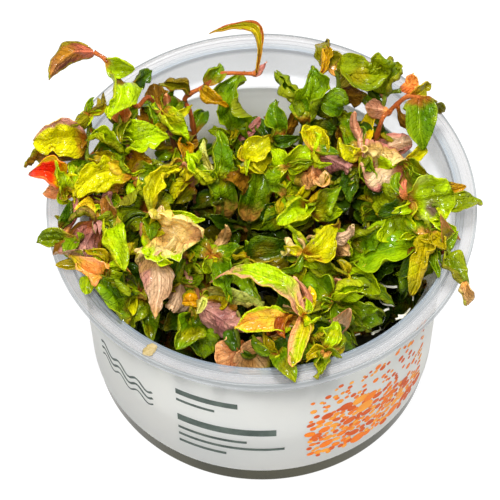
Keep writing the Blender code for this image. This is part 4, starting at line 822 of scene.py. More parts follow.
             rim_from=0.45, wind=30, grow=0.82, ruffle=0.05, crumple=0.1, curl=25, foot="salmon",
             foot_to=0.35, end="salmon", end_from=0.78),
        leaf(1, 6.8, -46.4, 2.6, 6, 0, 1.5, 0, -1, 20, "lime_peach", rim="peach", rim_side=1,
             rim_from=0.2, wind=30, grow=0.95, curl_left=60, ruffle=0.05, crumple=0.06),
        leaf(1, 7.4, -21.4, 7, 3, 165, 1.5, 0, -1.5, 20, "salmon"),
        leaf(1, 11, -24, 5.5, 3.4, tint="yellow")]),
    "gold_flat": ("orange", [(5, -38, -6), (6.2, -32.8, 0.5)], [
        leaf(1, -6.8, -34.6, 3.4, 6.5, 0, 2.0, -20, 1.5, 20, "gold", blush="lime_yellow", blushed=0.9,
             rim="lime", rim_from=0.6, wind=0, ruffle=0.12, crumple=0.12, curl=30, grow=1.2),
        leaf(1, 0.3, -36.2, 1, 3.4, 165, tint="rust"),
        leaf(1, 2.8, -42.8, -0.2, 5.4, 165, tint="tan")]),
    "front_tan": ("orange", [(-4.5, -39.5, -7), (-5.6, -40.6, -0.6)], [
        leaf(1, 0.8, -47, 2.6, 8.5, 175, 1.5, 0, 1, 15, "tan", foot="peach", end="olive", end_from=0.75,
             rise=0.5, fall=0.5, wind=0, curl=20, grow=1.15, ruffle=0.03, crumple=0.08, raised=1.0),
        leaf(1, -11.3, -43.4, 1.8, 5.6, 172, 1.0, 0, 1, 15, "peach", ruffle=0.03, crumple=0.08, grow=1.3,
             curl=20, wind=0, raised=1.0),
        leaf(1, -8.6, -37.4, 1, 3.2, 170, tint="peach", ruffle=0.03, crumple=0.08, curl=30, wind=0)]),
    "rim_green": ("green", [(0.5, -38.5, -9), (3, -41.3, -2)], [
        leaf(1, 7.1, -49.3, 2, 4.4, 5, 1.5, 0, -0.5, 20),
        leaf(0, -2.5, -44.3, -6, 4, 10, tint="olive")]),
    "front_star": ("yellow", [(13, -36, -6), (13.9, -41, 1)], [
        leaf(1, 11, -49.2, 2.6, 5.4, 0, 1.2, 0, -0.5, 20, "olive_green", foot="orange", foot_to=0.3,
             wind=0, grow=1.1),
        leaf(1, 16.8, -33.2, 2.5, 5.4, 0, 1.2, tint="lime", foot="orange", foot_to=0.3, wind=0, grow=0.9),
        leaf(1, 18.4, -38.6, 2.2, 4.4, 5, tint="yellow", foot="orange", foot_to=0.3),
        leaf(1, 16.8, -45.6, 2, 3.6, 5, tint="olive")]),
    "tan_blade": ("tan", [(9.4, -39.8, -6), (10.2, -37.4, -1)], [
        leaf(1, 20, -29.8, 3.4, 4.6, 175, 1.5, 0, -0.5, 20, "blush", rise=0.4, fall=0.6, wind=0,
             blush="tan", raised=3.0, grow=1.2, ruffle=0.02, crumple=0.05, curl=45, rim="peach",
             rim_from=0.7),
        leaf(0, 14.5, -43, -4, 4, 10, tint="deep_green")]),
    "green_right_front": ("green", [(15.6, -30.8, -9), (15.8, -27.4, -2)], [
        leaf(1, 22.8, -23.2, 0.5, 7.6, 0, 1.5, 0, -1, 15, "lime"),
        leaf(1, 10.4, -19.6, -0.5, 7, 5, 2.0),
        leaf(1, 17.2, -21.6, 2.6, 4.4, 170, tint="salmon"),
        leaf(0, 26.6, -29.6, -5, 4.6),
        leaf(0, 11.5, -33.5, -6, 4.6, 15, tint="deep_green")]),
    "olive_right_front": ("green", [(19.5, -22.5, -9), (19.2, -20.4, -5)], [
        leaf(1, 10.9, -12.4, -0.5, 6.6, 5, 2.0, tint="olive_green"),
        leaf(1, 26, -22.8, -6, 4.4, 10, tint="deep_green")]),
    "mauve_front": ("brown", [(-14.6, -25.5, -6), (-14.4, -28.4, -0.5)], [
        leaf(1, -5.4, -35.4, 1.8, 7, 172, 1.5, 0, 0.5, 20, "mauve_pink", rim="brown", rim_from=0.6,
             rim_side=1, blush="peach", pleat=0.1, pleats=2.2, ruffle=0.1),
        leaf(1, -18.3, -28, 1, 4.2, 10, tint="ochre"),
        leaf(1, -15.4, -32.4, 0.5, 3.6, 10, tint="olive_yellow"),
        leaf(0, 0.6, -29.2, -1.5, 5.4, 0, 1.0, 0, 0, 25, "pale")]),
    "front_left_green": ("green", [(-16.6, -31, -12), (-16.4, -32.2, -7)], [
        leaf(1, -19.6, -40.8, -3, 7.4, 0, 1.2, 0, 0, 10),
        leaf(1, -13, -42, -2.6, 6.6, 0, 1.2, 0, 0, 10),
        leaf(1, -7.4, -38.6, -3, 6, 0, 1.2, 0, 0.5, 15, "grey_green"),
        leaf(0, -22.5, -35, -9, 4.6, 15, tint="deep_green")]),
    "left_front_broad": ("brown", [(-26.5, -24.5, -10), (-27.8, -26.6, -4)], [
        leaf(1, -37.8, -21, 1.6, 8.5, 0, 1.5, 0, -1),
        leaf(1, -30.6, -34.8, -1.6, 5.4, tint="olive_green"),
        leaf(1, -25, -38.2, -3, 5, 5),
        leaf(0, -33.5, -17, -7, 5, 15, tint="deep_green")]),
    "tan_shade": ("brown", [(-18, -22.5, -10), (-18.6, -22.6, -5)], [
        leaf(1, -20.4, -29, -1.6, 6, 170, tint="blush"),
        leaf(1, -13.2, -24.4, -3, 4.6, 10),
        leaf(0, -19.6, -14.8, -6, 5.4, 10, tint="deep_green")]),
    "ochre_stem": ("ochre", [(-9, -25, -10), (-14.5, -18, -3.5), (-17.5, -14.5, -1),
                             (-20.8, -11.6, 1)], [
        leaf(3, -26.4, -17, 0.5, 4, 15, tint="olive_green"),
        leaf(2, -16.5, -22.4, -2.5, 2.2, 170, tint="salmon")]),
}

# Each tint: the side that the tint names, blotches on it, its margin, and the leaf's other side. The
# margin is paler and is also laid on as painted light along lit stretches of the edge.
TINTS = {
    "lime": ("B0CC02", "94A802", "D2DC12", "A8A814"),
    "lime_yellow": ("CCC803", "AEAC02", "E4DA18", "BEAC18"),
    "yellow": ("E2C804", "C4B603", "F0DC1D", "DDA44F"),
    "butter": ("E6C21B", "CDB40E", "F0DC69", "C2A814"),
    "green": ("789604", "587C01", "A0AE08", "7E8210"),
    "bright_green": ("98BC0A", "6E9802", "B8C810", "949A0E"),
    # deep_green is partly painted shade: it is given to leaves deep in the crowd, where shade falls
    "deep_green": ("446404", "2E4C01", "687E04", "54580E"),
    "grey_green": ("7A8420", "5A7010", "A0A048", "787020"),
    "olive": ("86800A", "6A6A02", "A89A14", "7C6414"),
    "olive_green": ("869404", "687C02", "ACAE0E", "86801A"),
    "olive_yellow": ("B4A204", "948E04", "D0BC1C", "A28C1A"),
    "khaki": ("948219", "7A700C", "B4A24C", "8A7017"),
    "ochre": ("C68E07", "A88604", "DCB016", "B08A0E"),
    "gold": ("EABB3C", "DCA030", "D2D41C", "D0A23A"),
    "orange": ("E8A04A", "DE7E38", "F0BC6A", "D6A43C"),
    "scarlet": ("EC3C12", "D0260A", "F28034", "DC7A3E"),
    "peach": ("E2A66C", "D0844A", "F2C694", "C8A850"),
    "peach_orange": ("D49A64", "BC7844", "E8BC94", "B89430"),
    "salmon": ("DC9E7A", "C8825A", "F0C2A0", "B49C3C"),
    "blush": ("D2AC86", "B88E66", "ECCFAE", "9C963C"),
    "pink": ("D68A7C", "C07264", "E8AA9A", "94883A"),
    "mauve": ("A2681F", "824E42", "BC8657", "7A7C09"),
    "mauve_pink": ("BC8474", "98625A", "DAA698", "888A26"),
    "brick": ("C0684A", "A85032", "D48C4B", "98860D"),
    "rust": ("A8561E", "8A4010", "C07812", "8A7409"),
    "tan": ("C4985E", "A6763C", "DCB882", "96922C"),
    "brown": ("7E540B", "5E3E07", "9A7412", "747607"),
    "cream": ("E0C67E", "BC9A52", "F2E4AC", "BCB03A"),
    "pale": ("C4CC5D", "A6B216", "E4E284", "B8A84E"),
    "dried": ("6A5440", "4E3C2C", "7E6850", "6A5440"),
    "bright_cream": ("F2D88C", "D6B060", "FFF0BC", "C8BC40"),
    "cream_in_green": ("E6C898", "CFA078", "F0C4AA", "7E9A0C"),
    "lime_peach": ("B2CC02", "C8C808", "E4C05A", "EEA860"),
}
# Each stem's tint: its main colour and the streaks on it.
STEM_TINTS = {
    "orange": ("D07838", "A84E22"), "peach": ("E0A276", "C47C4C"), "brown": ("94603A", "6C4022"),
    "green": ("8A9A2A", "6A7A18"), "lime": ("A8B428", "8A8A20"), "yellow": ("C4B03A", "A88A28"),
    "pink": ("D8907A", "B86A54"), "tan": ("C49A68", "9C7040"), "pale": ("C0C484", "98A048"),
    "ochre": ("C09030", "94641C"),
}
# Leaves of these tints have withered.
WITHERED = ("rust", "brown", "tan", "brick", "khaki")
# These shoots stand clear of the crowd, or carry leaves that have to show, so no young leaves grow
# round their nodes.
STANDING_CLEAR = ("front_tan", "tall_left", "star_left", "right_top", "right_pendant", "tall_back",
                  "back_right", "right_back", "lower_left", "right_points")
# By the front right wall the older leaves stand closer, seen down the gap between crowd and rim.
BY_THE_WALL = ("green_right_front", "olive_right_front", "big_green", "front_star", "right_front",
               "tan_blade")
# In two places the crowd parts and one looks down into the dark: u and v of the middle, and how far
# it reaches along each.
HOLLOWS = ((-9.5, -1.5, 10.5, 9.5), (-21.0, -31.5, 4.5, 4.5))


def sight(u, v, h):
    """The point that stands h above the rim's plane on the line of sight through u, v."""
    start = Vector((u, v, CUP_HEIGHT))
    return start + (VIEWPOINT - start) * (h / (VIEWPOINT.z - CUP_HEIGHT))


def ovate(share):
    """How wide a leaf is at a share of its length, 1 where it is widest."""
    widest = OVATE_RISE / (OVATE_RISE + OVATE_FALL)
    peak = widest ** OVATE_RISE * (1 - widest) ** OVATE_FALL
    return share ** OVATE_RISE * (1 - share) ** OVATE_FALL / peak


def over_hollow(place):
    """Whether the place is seen inside a hollow from the viewpoint."""
    seen = place + (VIEWPOINT - place) * ((CUP_HEIGHT - place.z) / (VIEWPOINT.z - place.z))
    return any(((seen.x - u) / wide) ** 2 + ((seen.y - v) / deep) ** 2 < 1
               for u, v, wide, deep in HOLLOWS)


def blade_point(base, tip, spec, turn, share):
    """The midrib's point at a share of the length, with the blade's facing and side there."""
    along = (tip - base).normalized()
    look = spec.get("look") or (VIEWPOINT - (base + tip) / 2).normalized()
    facing = (look - along * look.dot(along)).normalized()
    facing.rotate(Quaternion(along, math.radians(turn)))
    side = along.cross(facing)
    hump = 4 * share * (1 - share)
    middle = base.lerp(tip, share) + facing * (spec["bow"] * hump) + side * (spec["sway"] * hump)
    wind = Quaternion(along, math.radians(spec["twist"] * (share - 0.5)))
    return middle, wind @ facing, wind @ side


def settled(corners, base, spec):
    """Where the frame's solid has this leaf's tip, and how far its blade is turned."""
    u, v, h = spec["tip"]
    cut = NARROW_CUT if spec["wide"] < NARROW_BLADE else BROAD_CUT
    half = max(PETIOLE_WIDTH, spec["wide"] * ovate(cut)) / 2
    lift = math.radians(spec["fold"])
    for length, rise in product(SETTLE_LENGTHS, SETTLE_LIFTS):
        tip = base.lerp(sight(u, v, h + rise), length)
        if corners.find(tip)[2] > FIND:
            continue
        for swing in SETTLE_TURNS:
            turn = spec["turn"] + swing
            middle, facing, side = blade_point(base, tip, spec, turn, cut)
            for sign in (1, -1):
                edge = middle + side * (sign * half * math.cos(lift)) + facing * (half * math.sin(lift))
                if corners.find(edge)[2] < FIND:
                    return tip, turn
        return tip, spec["turn"]
    return sight(u, v, h), spec["turn"]


def base_on(points, node, order):
    """Where a node's leaf of that order grows from: the node itself, or a little down the stem."""
    top, below = points[node + 1], points[node]
    drop = min(order * LEAF_STAGGER, (top - below).length * STAGGER_SHARE)
    return top + (below - top).normalized() * drop


def field(points, scale, seed):
    """Smooth noise at each point, with features about that many millimetres across."""
    shift = Vector((seed * 17.3, seed * 5.1, seed * 9.7))
    return np.array([noise.noise(Vector(point) / scale + shift) for point in points.reshape(-1, 3)]
                    ).reshape(points.shape[:-1])


def step_between(low, high, value):
    """0 below low, 1 above high, and a smooth rise between."""
    share = np.clip((value - low) / (high - low), 0, 1)
    return share * share * (3 - 2 * share)


def blend(first, second, share):
    """Two colours mixed, by a share at each point."""
    return first + (second - first) * share[..., None]


def colours_of(tint):
    """A tint's four colours as linear arrays."""
    return [np.array(linear(code)) for code in TINTS[tint]]


def along_noise(shares, span, number):
    """Smooth noise down a leaf, with features about span of its length long."""
    return np.array([noise.noise(Vector((share / span, number, 0.37))) for share in shares])


def half_outline(spec, shares, length, draw, number):
    """Half the leaf's width down one side: ovate, a little uneven, sometimes torn."""
    rise, fall = spec.get("rise", draw.uniform(0.4, 0.6)), spec.get("fall", draw.uniform(0.48, 0.82))
    widest = rise / (rise + fall)
    shape = shares ** rise * (1 - shares) ** fall / (widest ** rise * (1 - widest) ** fall)
    half = spec["wide"] / 2 * spec.get("grow", 1.25) * draw.uniform(0.88, 1.14) * shape
    half = half * (1 + 0.12 * along_noise(shares, 6.0 / length, number)
                   + 0.04 * along_noise(shares, 1.2 / length, number + 4))
    if draw.random() < TORN_SHARE:
        place, span = draw.uniform(0.35, 0.85), draw.uniform(0.03, 0.08)
        half = half * (1 - draw.uniform(0.2, 0.5) * np.exp(-((shares - place) / span) ** 2))
    return np.maximum(half, PETIOLE_WIDTH / 2 * (1 - 0.75 * shares))


def leaf_sheet(base, tip, turn, spec, seed):
    """A leaf's grid of points, with each point's share down it, its side and its half width."""
    draw = random.Random(seed)
    number = draw.uniform(0, 50)
    wide, length = spec["wide"], (tip - base).length
    fine = spec.get("grid", LEAF_GRID)
    rows = int(np.clip(round(length / fine), 9, 56))
    half_cols = int(np.clip(round(wide / 2 / fine), 3, 17))
    shares = np.linspace(0, 1, rows)
    wound = {**spec, "twist": spec["twist"] + spec.get("wind", draw.uniform(-60, 60))}
    places = [blade_point(base, tip, wound, turn, share) for share in shares]
    middles, facings, sides = (np.array([place[part] for place in places]) for part in range(3))
    # the midrib lifts, drifts aside and hooks at its tip, but holds still at its foot
    held = np.sin(np.clip(shares, 0, 1) * math.pi)
    hook = spec.get("hook", draw.uniform(-0.3, 0.18)) * length
    lift = 0.14 * length * along_noise(shares, 0.5, number + 11) * held
    lift = lift + hook * np.clip((shares - 0.55) / 0.45, 0, 1) ** 2
    drift = 0.09 * length * along_noise(shares, 0.6, number + 13) * held
    lift = lift + spec.get("raised", 0.0) * held
    middles = middles + facings * lift[:, None] + sides * drift[:, None]
    pleats = spec.get("pleats", draw.uniform(1.2, 2.6))
    pleat = spec.get("pleat", draw.uniform(0.04, 0.12)) * wide
    ruffle = spec.get("ruffle", 0.11) * wide * draw.uniform(0.5, 1.4)
    crumple = spec.get("crumple", 0.15) * wide
    waves = max(0.8, length / draw.uniform(5.0, 9.0))
    rolled = draw.choice((-1, 1))
    sheets, halves = {}, {}
    across = np.linspace(0, 1, half_cols + 1)
    for sign in (-1, 1):
        # each half is rolled out from the midrib step by step, then waved and pleated
        half = half_outline(spec, shares, length, draw, number + 20 * sign)
        drawn_curl = draw.uniform(40, 200) if sign == rolled else draw.uniform(-70, 90)
        curl = spec.get("curl_right" if sign > 0 else "curl_left", spec.get("curl", drawn_curl))
        wander = along_noise(shares, 3.5 / length, number + 31 * sign)
        roll = np.radians(curl * (1 + 0.8 * wander) + 60 * np.maximum(0, wander))
        bend = math.radians(spec["fold"] + draw.uniform(-6, 8))
        angle = bend + roll[:, None] * across[None, :] ** draw.uniform(1.1, 2.4)
        step = (half / half_cols)[:, None]
        between = (angle[:, 1:] + angle[:, :-1]) / 2
        start = np.zeros((rows, 1))
        out = np.concatenate([start, np.cumsum(np.cos(between) * step, axis=1)], axis=1)
        rise = np.concatenate([start, np.cumsum(np.sin(between) * step, axis=1)], axis=1)
        swell = (waves * shares + 0.5 * along_noise(shares, 4.0 / length, number + 41 * sign)) * math.tau
        wave = np.sin(swell + draw.uniform(0, math.tau)) * held ** 0.5 * np.minimum(1, half / (wide * 0.3))
        rise = rise + ruffle * wave[:, None] * across[None, :] ** 1.9
        stray = along_noise(shares, 4.5 / length, number + 51 * sign)
        phase = across[None, :] * pleats + 0.7 * stray[:, None]
        peaked = np.abs(2 * (phase - np.floor(phase)) - 1) * np.minimum(1, across[None, :] * 3)
        rise = rise + pleat * peaked * (held ** 0.7)[:, None]
        sheets[sign] = (middles[:, None, :] + sides[:, None, :] * (sign * out)[..., None]
                        + facings[:, None, :] * rise[..., None])
        halves[sign] = half
    points = np.concatenate([sheets[-1][:, :0:-1], sheets[1]], axis=1)
    beside = np.broadcast_to(np.concatenate([-across[:0:-1], across]), points.shape[:2])
    halves = np.where(beside < 0, halves[-1][:, None], halves[1][:, None])
    # creases and crumples, then the quilting between side veins and the sunken midrib
    normals = grid_normals(points)
    crease = (np.abs(field(points, 0.5 * wide + 1.2, number)) - 0.2
              + 0.18 * (np.abs(field(points, 0.2 * wide + 0.6, number + 3)) - 0.2))
    free = step_between(0.0, 0.2, shares)[:, None]
    points = points + normals * (crease * crumple * 2.2 * free)[..., None]
    points = points + sides[:, None, :] * (0.05 * wide * field(points, 6.0, number + 9) * free)[..., None]
    ribs = np.cos((shares[:, None] * length - np.abs(beside) * halves * 0.8) / SIDE_VEINS * math.tau)
    quilt = 0.045 * ribs * (1 - np.abs(beside)) * np.minimum(1, np.abs(beside) * 4)
    groove = -0.22 * np.exp(-(beside * halves / 0.45) ** 2) * (1 - shares[:, None])
    points = points + normals * (quilt + groove)[..., None]
    return points, shares, beside, halves, length, number


def grid_normals(points):
    """The unit normal at each point of a grid, on the side that the leaf faces."""
    down = np.gradient(points, axis=0)
    over = np.gradient(points, axis=1)
    normals = np.cross(over, down)
    size = np.linalg.norm(normals, axis=-1, keepdims=True)
    return normals / np.maximum(size, 1e-9)


def pigments(spec, turn, shares, beside, halves, points, number):
    """The leaf's colours at each point, over its upper side and under it."""
    rows, cols = beside.shape
    main, blotch, margin, back = colours_of(spec["tint"])
    share = shares[:, None] + np.zeros_like(beside)
    patch = step_between(-0.12, 0.3, field(points, 5.0, number + 1))
    fleck = field(points, 1.3, number + 2)
    edge = np.abs(beside) + 0.15 * fleck
    shown = blend(np.broadcast_to(main, (rows, cols, 4)), blotch, patch)
    # painted light: the paler margin colour is laid on stretches of the edge, for thin margins with light
    # through them
    painted_lit_edge = step_between(-0.1, 0.3, field(points, 4.0, number + 5))
    shown = blend(shown, margin, 0.6 * painted_lit_edge * step_between(0.6, 0.95, edge))
    shown = blend(shown, margin, 0.3 * np.exp(-(beside * halves / 0.25) ** 2))
    blush = colours_of(spec.get("blush", "ochre"))[0]
    flushed = step_between(0.22, 0.55, field(points, 6.0, number + 7))
    shown = blend(shown, blush, spec.get("blushed", 0.3) * flushed)
    if "end" in spec:
        reach = step_between(spec.get("end_from", 0.55), 0.92, share + 0.15 * fleck)
        shown = blend(shown, colours_of(spec["end"])[0], reach)
    if "foot" in spec:
        reach = 1 - step_between(0.08, spec.get("foot_to", 0.45), share + 0.15 * fleck)
        shown = blend(shown, colours_of(spec["foot"])[0], reach)
    elif number % 1 < FLUSHED_FEET:
        reach = 0.85 - 0.85 * step_between(0.05, 0.32, share + 0.12 * fleck)
        shown = blend(shown, colours_of("rust" if number % 1 < RUSTY_FEET else "orange")[0], reach)
    if "spot" in spec:
        down, side = spec["spot"]
        reach = 1 - step_between(0.09, 0.2, np.hypot(share - down, (beside - side) * 0.45) + 0.04 * fleck)
        shown = blend(shown, colours_of("dried")[0], reach)
    if "rim" in spec:
        side = spec.get("rim_side", 0)
        outward = beside * side if side else np.abs(beside)
        reach = step_between(spec.get("rim_from", 0.4), 0.8, outward + 0.18 * fleck)
        shown = blend(shown, colours_of(spec["rim"])[0], reach)
    hidden = blend(np.broadcast_to(back, (rows, cols, 4)), blend(back, main, np.array(0.5)), patch)
    hidden = blend(hidden, margin, 0.4 * step_between(0.75, 1.0, edge))
    under_shows = abs((turn + 180) % 360 - 180) > 90
    return (hidden, shown) if under_shows else (shown, hidden)


# where each finish stands in the list of leaf finishes
UPPER_SIDE, UNDERSIDE, WITHERED_SIDE, STEM_SKIN = range(4)


def add_leaf(shoot, base, tip, turn, spec, seed):
    """Put a leaf into the shoot's lists: a thin closed sheet with its pigment and its measure."""
    points, shares, beside, halves, length, number = leaf_sheet(base, tip, turn, spec, seed)
    rows, cols = beside.shape
    normals = grid_normals(points) * (LEAF_THICKNESS / 2)
    over, under = pigments(spec, turn, shares, beside, halves, points, number)
    start = len(shoot["points"])
    measure = np.stack([shares[:, None] * length + np.zeros_like(beside), beside * halves], axis=-1) / 10
    for sheet, pigment in ((points + normals, over), (points - normals, under)):
        shoot["points"] += sheet.reshape(-1, 3).tolist()
        shoot["pigment"] += pigment.reshape(-1, 4).tolist()
        shoot["measure"] += measure.reshape(-1, 2).tolist()
    index = np.arange(rows * cols).reshape(rows, cols) + start
    low, beyond = index[:-1, :-1].ravel(), rows * cols
    top = np.stack([low, index[:-1, 1:].ravel(), index[1:, 1:].ravel(), index[1:, :-1].ravel()], axis=1)
    bottom = top[:, ::-1] + beyond
    around = np.concatenate([index[0, :-1], index[:-1, -1], index[-1, :0:-1], index[:0:-1, 0]])
    following = np.roll(around, -1)
    rim = np.stack([following, around, around + beyond, following + beyond], axis=1)
    dry = spec["tint"] in WITHERED
    upper, lower = (WITHERED_SIDE, WITHERED_SIDE) if dry else (UPPER_SIDE, UNDERSIDE)
    for faces, finish in ((top, upper), (bottom, lower), (rim, upper)):
        shoot["faces"] += faces.tolist()
        shoot["finish"] += [finish] * len(faces)


def course_through(points):
    """A smooth course through the points, as places about COURSE_STEP apart."""
    knots = [points[0] * 2 - points[1]] + list(points) + [points[-1] * 2 - points[-2]]
    found = []
    for before, start, end, after in zip(knots, knots[1:], knots[2:], knots[3:]):
        count = max(2, round((end - start).length / COURSE_STEP))
        for step in range(count):
            t = step / count
            found.append(0.5 * (start * 2 + (end - before) * t
                                + (before * 2 - start * 5 + end * 4 - after) * t * t
                                + (start * 3 - before - end * 3 + after) * t ** 3))
    return found + [points[-1]]


def tube(course, radii, sides):
    """Points and faces of a closed tube along a course, with a radius at each place."""
    points, faces = [], []
    side = (course[1] - course[0]).orthogonal().normalized()
    for index, (place, radius) in enumerate(zip(course, radii)):
        run = (course[min(index + 1, len(course) - 1)] - course[max(index - 1, 0)]).normalized()
        side = (side - run * side.dot(run)).normalized()
        other = run.cross(side)
        for step in range(sides):
            angle = step * math.tau / sides
            points.append(place + (side * math.cos(angle) + other * math.sin(angle)) * radius)
    for ring in range(len(course) - 1):
        for step in range(sides):
            low, following = ring * sides, (step + 1) % sides
            faces.append([low + step, low + following, low + sides + following, low + sides + step])
    faces.append(list(reversed(range(sides))))
    faces.append([len(points) - sides + step for step in range(sides)])
    return points, faces


def add_stem(shoot, points, tint, number):
    """Put the stem into the shoot's lists: a round tube, a little swollen at each node."""
    course = course_through(points)
    radii, pigment = [], []
    main, blotch = (np.array(linear(code)) for code in STEM_TINTS[tint])
    lower = np.array(linear(STEM_FOOT_TINT))
    for index, place in enumerate(course):
        thin = index / (len(course) - 1)
        radius = STEM_RADIUS + (STEM_TIP_RADIUS - STEM_RADIUS) * thin
        nearest = min((place - node).length for node in points[1:])
        radii.append(radius * (BETWEEN_NODES + NODE_SWELL * math.exp(-(nearest / NODE_SPAN) ** 2)))
        tone = 0.5 + 0.5 * noise.noise(place / 3 + Vector((number, 0, 0)))
        height = min(1, max(0, (place.z - STEM_TINT_FROM) / STEM_TINT_RISE))
        pigment.append(lower + (main + (blotch - main) * tone - lower) * height)
    made, faces = tube(course, radii, STEM_SIDES)
    start = len(shoot["points"])
    shoot["points"] += [tuple(point) for point in made]
    for index, colour in enumerate(pigment):
        shoot["pigment"] += [colour.tolist()] * STEM_SIDES
        shoot["measure"] += [(index * COURSE_STEP / 10, step / STEM_SIDES) for step in range(STEM_SIDES)]
    shoot["faces"] += [[start + corner for corner in face] for face in faces]
    shoot["finish"] += [STEM_SKIN] * len(faces)
    return course


def held_in(place, limit):
    """Move a place in to that distance from the cup's middle, and say whether it was further out."""
    span = math.hypot(place.x, place.y)
    if span <= limit:
        return False
    place.x, place.y = place.x * limit / span, place.y * limit / span
    return True


def add_lower_leaves(shoot, course, first_height, name):
    """Pairs of older, smaller leaves down the stem, under the crowd at the cup's mouth."""
    draw = random.Random(name + " lower")
    spin = draw.uniform(0, math.tau)
    next_height = LOWEST_LEAF + draw.uniform(0, 4)
    for place in course:
        if place.z < next_height or place.z > first_height - 1.5:
            continue
        next_height = place.z + draw.uniform(5.5, 8) * (CLOSER if name in BY_THE_WALL else 1)
        spin += math.pi / 2 + draw.uniform(-0.3, 0.3)
        for turn_about in (0, math.pi):
            angle = spin + turn_about + draw.uniform(-0.25, 0.25)
            long = draw.uniform(5.5, 9.5)
            tip = place + Vector((math.cos(angle) * long, math.sin(angle) * long, draw.uniform(-2, 4)))
            held_in(tip, LEAF_REACH)
            if (tip - place).length < SHORTEST_LEAF:
                continue
            # darker tints low down: partly the older leaves' own colour, partly painted shade under the
            # crowd
            high = place.z > GREEN_FROM
            tint = draw.choice(("deep_green", "green", "deep_green", "olive", "green", "brown") if high
                               else ("deep_green", "brown", "deep_green", "deep_green"))
            look = Vector((draw.uniform(-0.3, 0.3), draw.uniform(-0.5, 0.1), 1)).normalized()
            spec = {"wide": (tip - place).length * draw.uniform(0.5, 0.7), "bow": draw.uniform(0.2, 1.2),
                    "sway": draw.uniform(-0.8, 0.8), "twist": draw.uniform(-30, 30),
                    "fold": draw.uniform(5, 25), "tint": tint, "look": look, "grid": LOWER_GRID}
            add_leaf(shoot, place, tip, 0, spec, f"{name} lower {place.z:.3f} {turn_about:.1f}")


# Leaves that lie along the wall at the front right, by the shoot they grow from: the tip's u, v
# and h, the width and the tint.
WALL_LEAVES = {
    "green_right_front": ((27.5, -31.5, -10, 7, "green"), (23.5, -36, -9, 5.5, "olive_green")),
    "big_green": ((31.5, -26.5, -9, 6, "deep_green"), (35.5, -20.5, -10, 6.5, "olive_green")),
    "olive_right_front": ((29, -28, -7, 5, "green"),),
    "tan_blade": ((18.5, -39.5, -8, 5, "green"),),
}


def add_wall_leaves(shoot, stem, name):
    """The shoot's leaves that lie along the wall, each from the stem's nearest place below the rim."""
    draw = random.Random(name + " wall")
    for u, v, h, wide, tint in WALL_LEAVES.get(name, ()):
        tip = sight(u, v, h)
        low = [place for place in stem if place.z < CUP_HEIGHT - WALL_LEAF_DROP]
        base = min(low, key=lambda place: (place - tip).length)
        spec = {"wide": wide, "bow": 1.5, "sway": draw.uniform(-1, 1), "twist": 0.0, "fold": 18.0,
                "tint": tint, "ruffle": 0.06, "wind": draw.uniform(-25, 25), "blush": "lime",
                "grid": WALL_GRID}
        add_leaf(shoot, base, tip, draw.uniform(-15, 15), spec, f"{name} wall {u} {v}")


def add_tufts(shoot, stem, leaves, name):
    """Young crumpled leaves round the stem's nodes, between the full-grown ones."""
    draw = random.Random(name + " tuft")
    own = [spec["tint"] for spec in leaves if spec["tint"] not in ("deep_green", "scarlet")]
    for index, place in enumerate(stem[1:]):
        last = index == len(stem) - 2
        if place.z < (WALL_TUFTS_FROM if name in BY_THE_WALL else TUFTS_FROM) and not last:
            continue
        look = (VIEWPOINT - place).normalized()
        for count in range(TUFT_AT_TIP if last else TUFT_AT_NODE):
            angle = draw.uniform(0, math.tau)
            level = Vector((math.cos(angle), math.sin(angle), draw.uniform(-0.15, 0.5))).normalized()
            direction = (level + look * draw.uniform(-0.1, 0.6)).normalized()
            long = draw.uniform(3.5, 7.5)
            tip = place + direction * long
            if over_hollow(tip):
                continue
            spec = {"wide": long * draw.uniform(0.38, 0.6), "bow": draw.uniform(-0.25, 0.3) * long,
                    "sway": draw.uniform(-0.25, 0.25) * long, "twist": draw.uniform(-110, 110),
                    "fold": draw.uniform(8, 38), "grid": TUFT_GRID, "fall": draw.uniform(0.35, 0.7),
                    "tint": draw.choice(own + ["green", "lime", "lime_yellow", "olive_yellow"])}
            turn = draw.choice((0, 0, 180)) + draw.uniform(-45, 45)
            add_leaf(shoot, place, tip, turn, spec, f"{name} tuft {index} {count}")


def add_partners(shoot, base, tip, spec, name):
    """The second leaf of the pair, grown the other way and lower, in the shade of the first."""
    draw = random.Random(name + " partner")
    run = base - tip
    run.z = 0
    if run.length < 1:
        return
    long = min(LONGEST_PARTNER, (tip - base).length * draw.uniform(0.5, 0.8))
    run.rotate(Quaternion((0, 0, 1), draw.uniform(-0.7, 0.7)))
    end = base + run.normalized() * long + Vector((0, 0, draw.uniform(-4.0, 0.0)))
    if math.hypot(end.x, end.y) > PARTNER_REACH and end.z < CUP_HEIGHT + 2:
        return
    if over_hollow(end) or over_hollow(base.lerp(end, 0.6)):
        return
    partner = {"wide": long * draw.uniform(0.5, 0.75), "bow": draw.uniform(0.2, 1.4),
               "sway": draw.uniform(-1.6, 1.6), "twist": draw.uniform(-80, 80), "fold": draw.uniform(5, 30),
               "grid": PARTNER_GRID,
               "tint": draw.choice(("green", "green", "olive_green", "deep_green", "lime"))}
    add_leaf(shoot, base, end, draw.uniform(-30, 30), partner, name + " partner leaf")


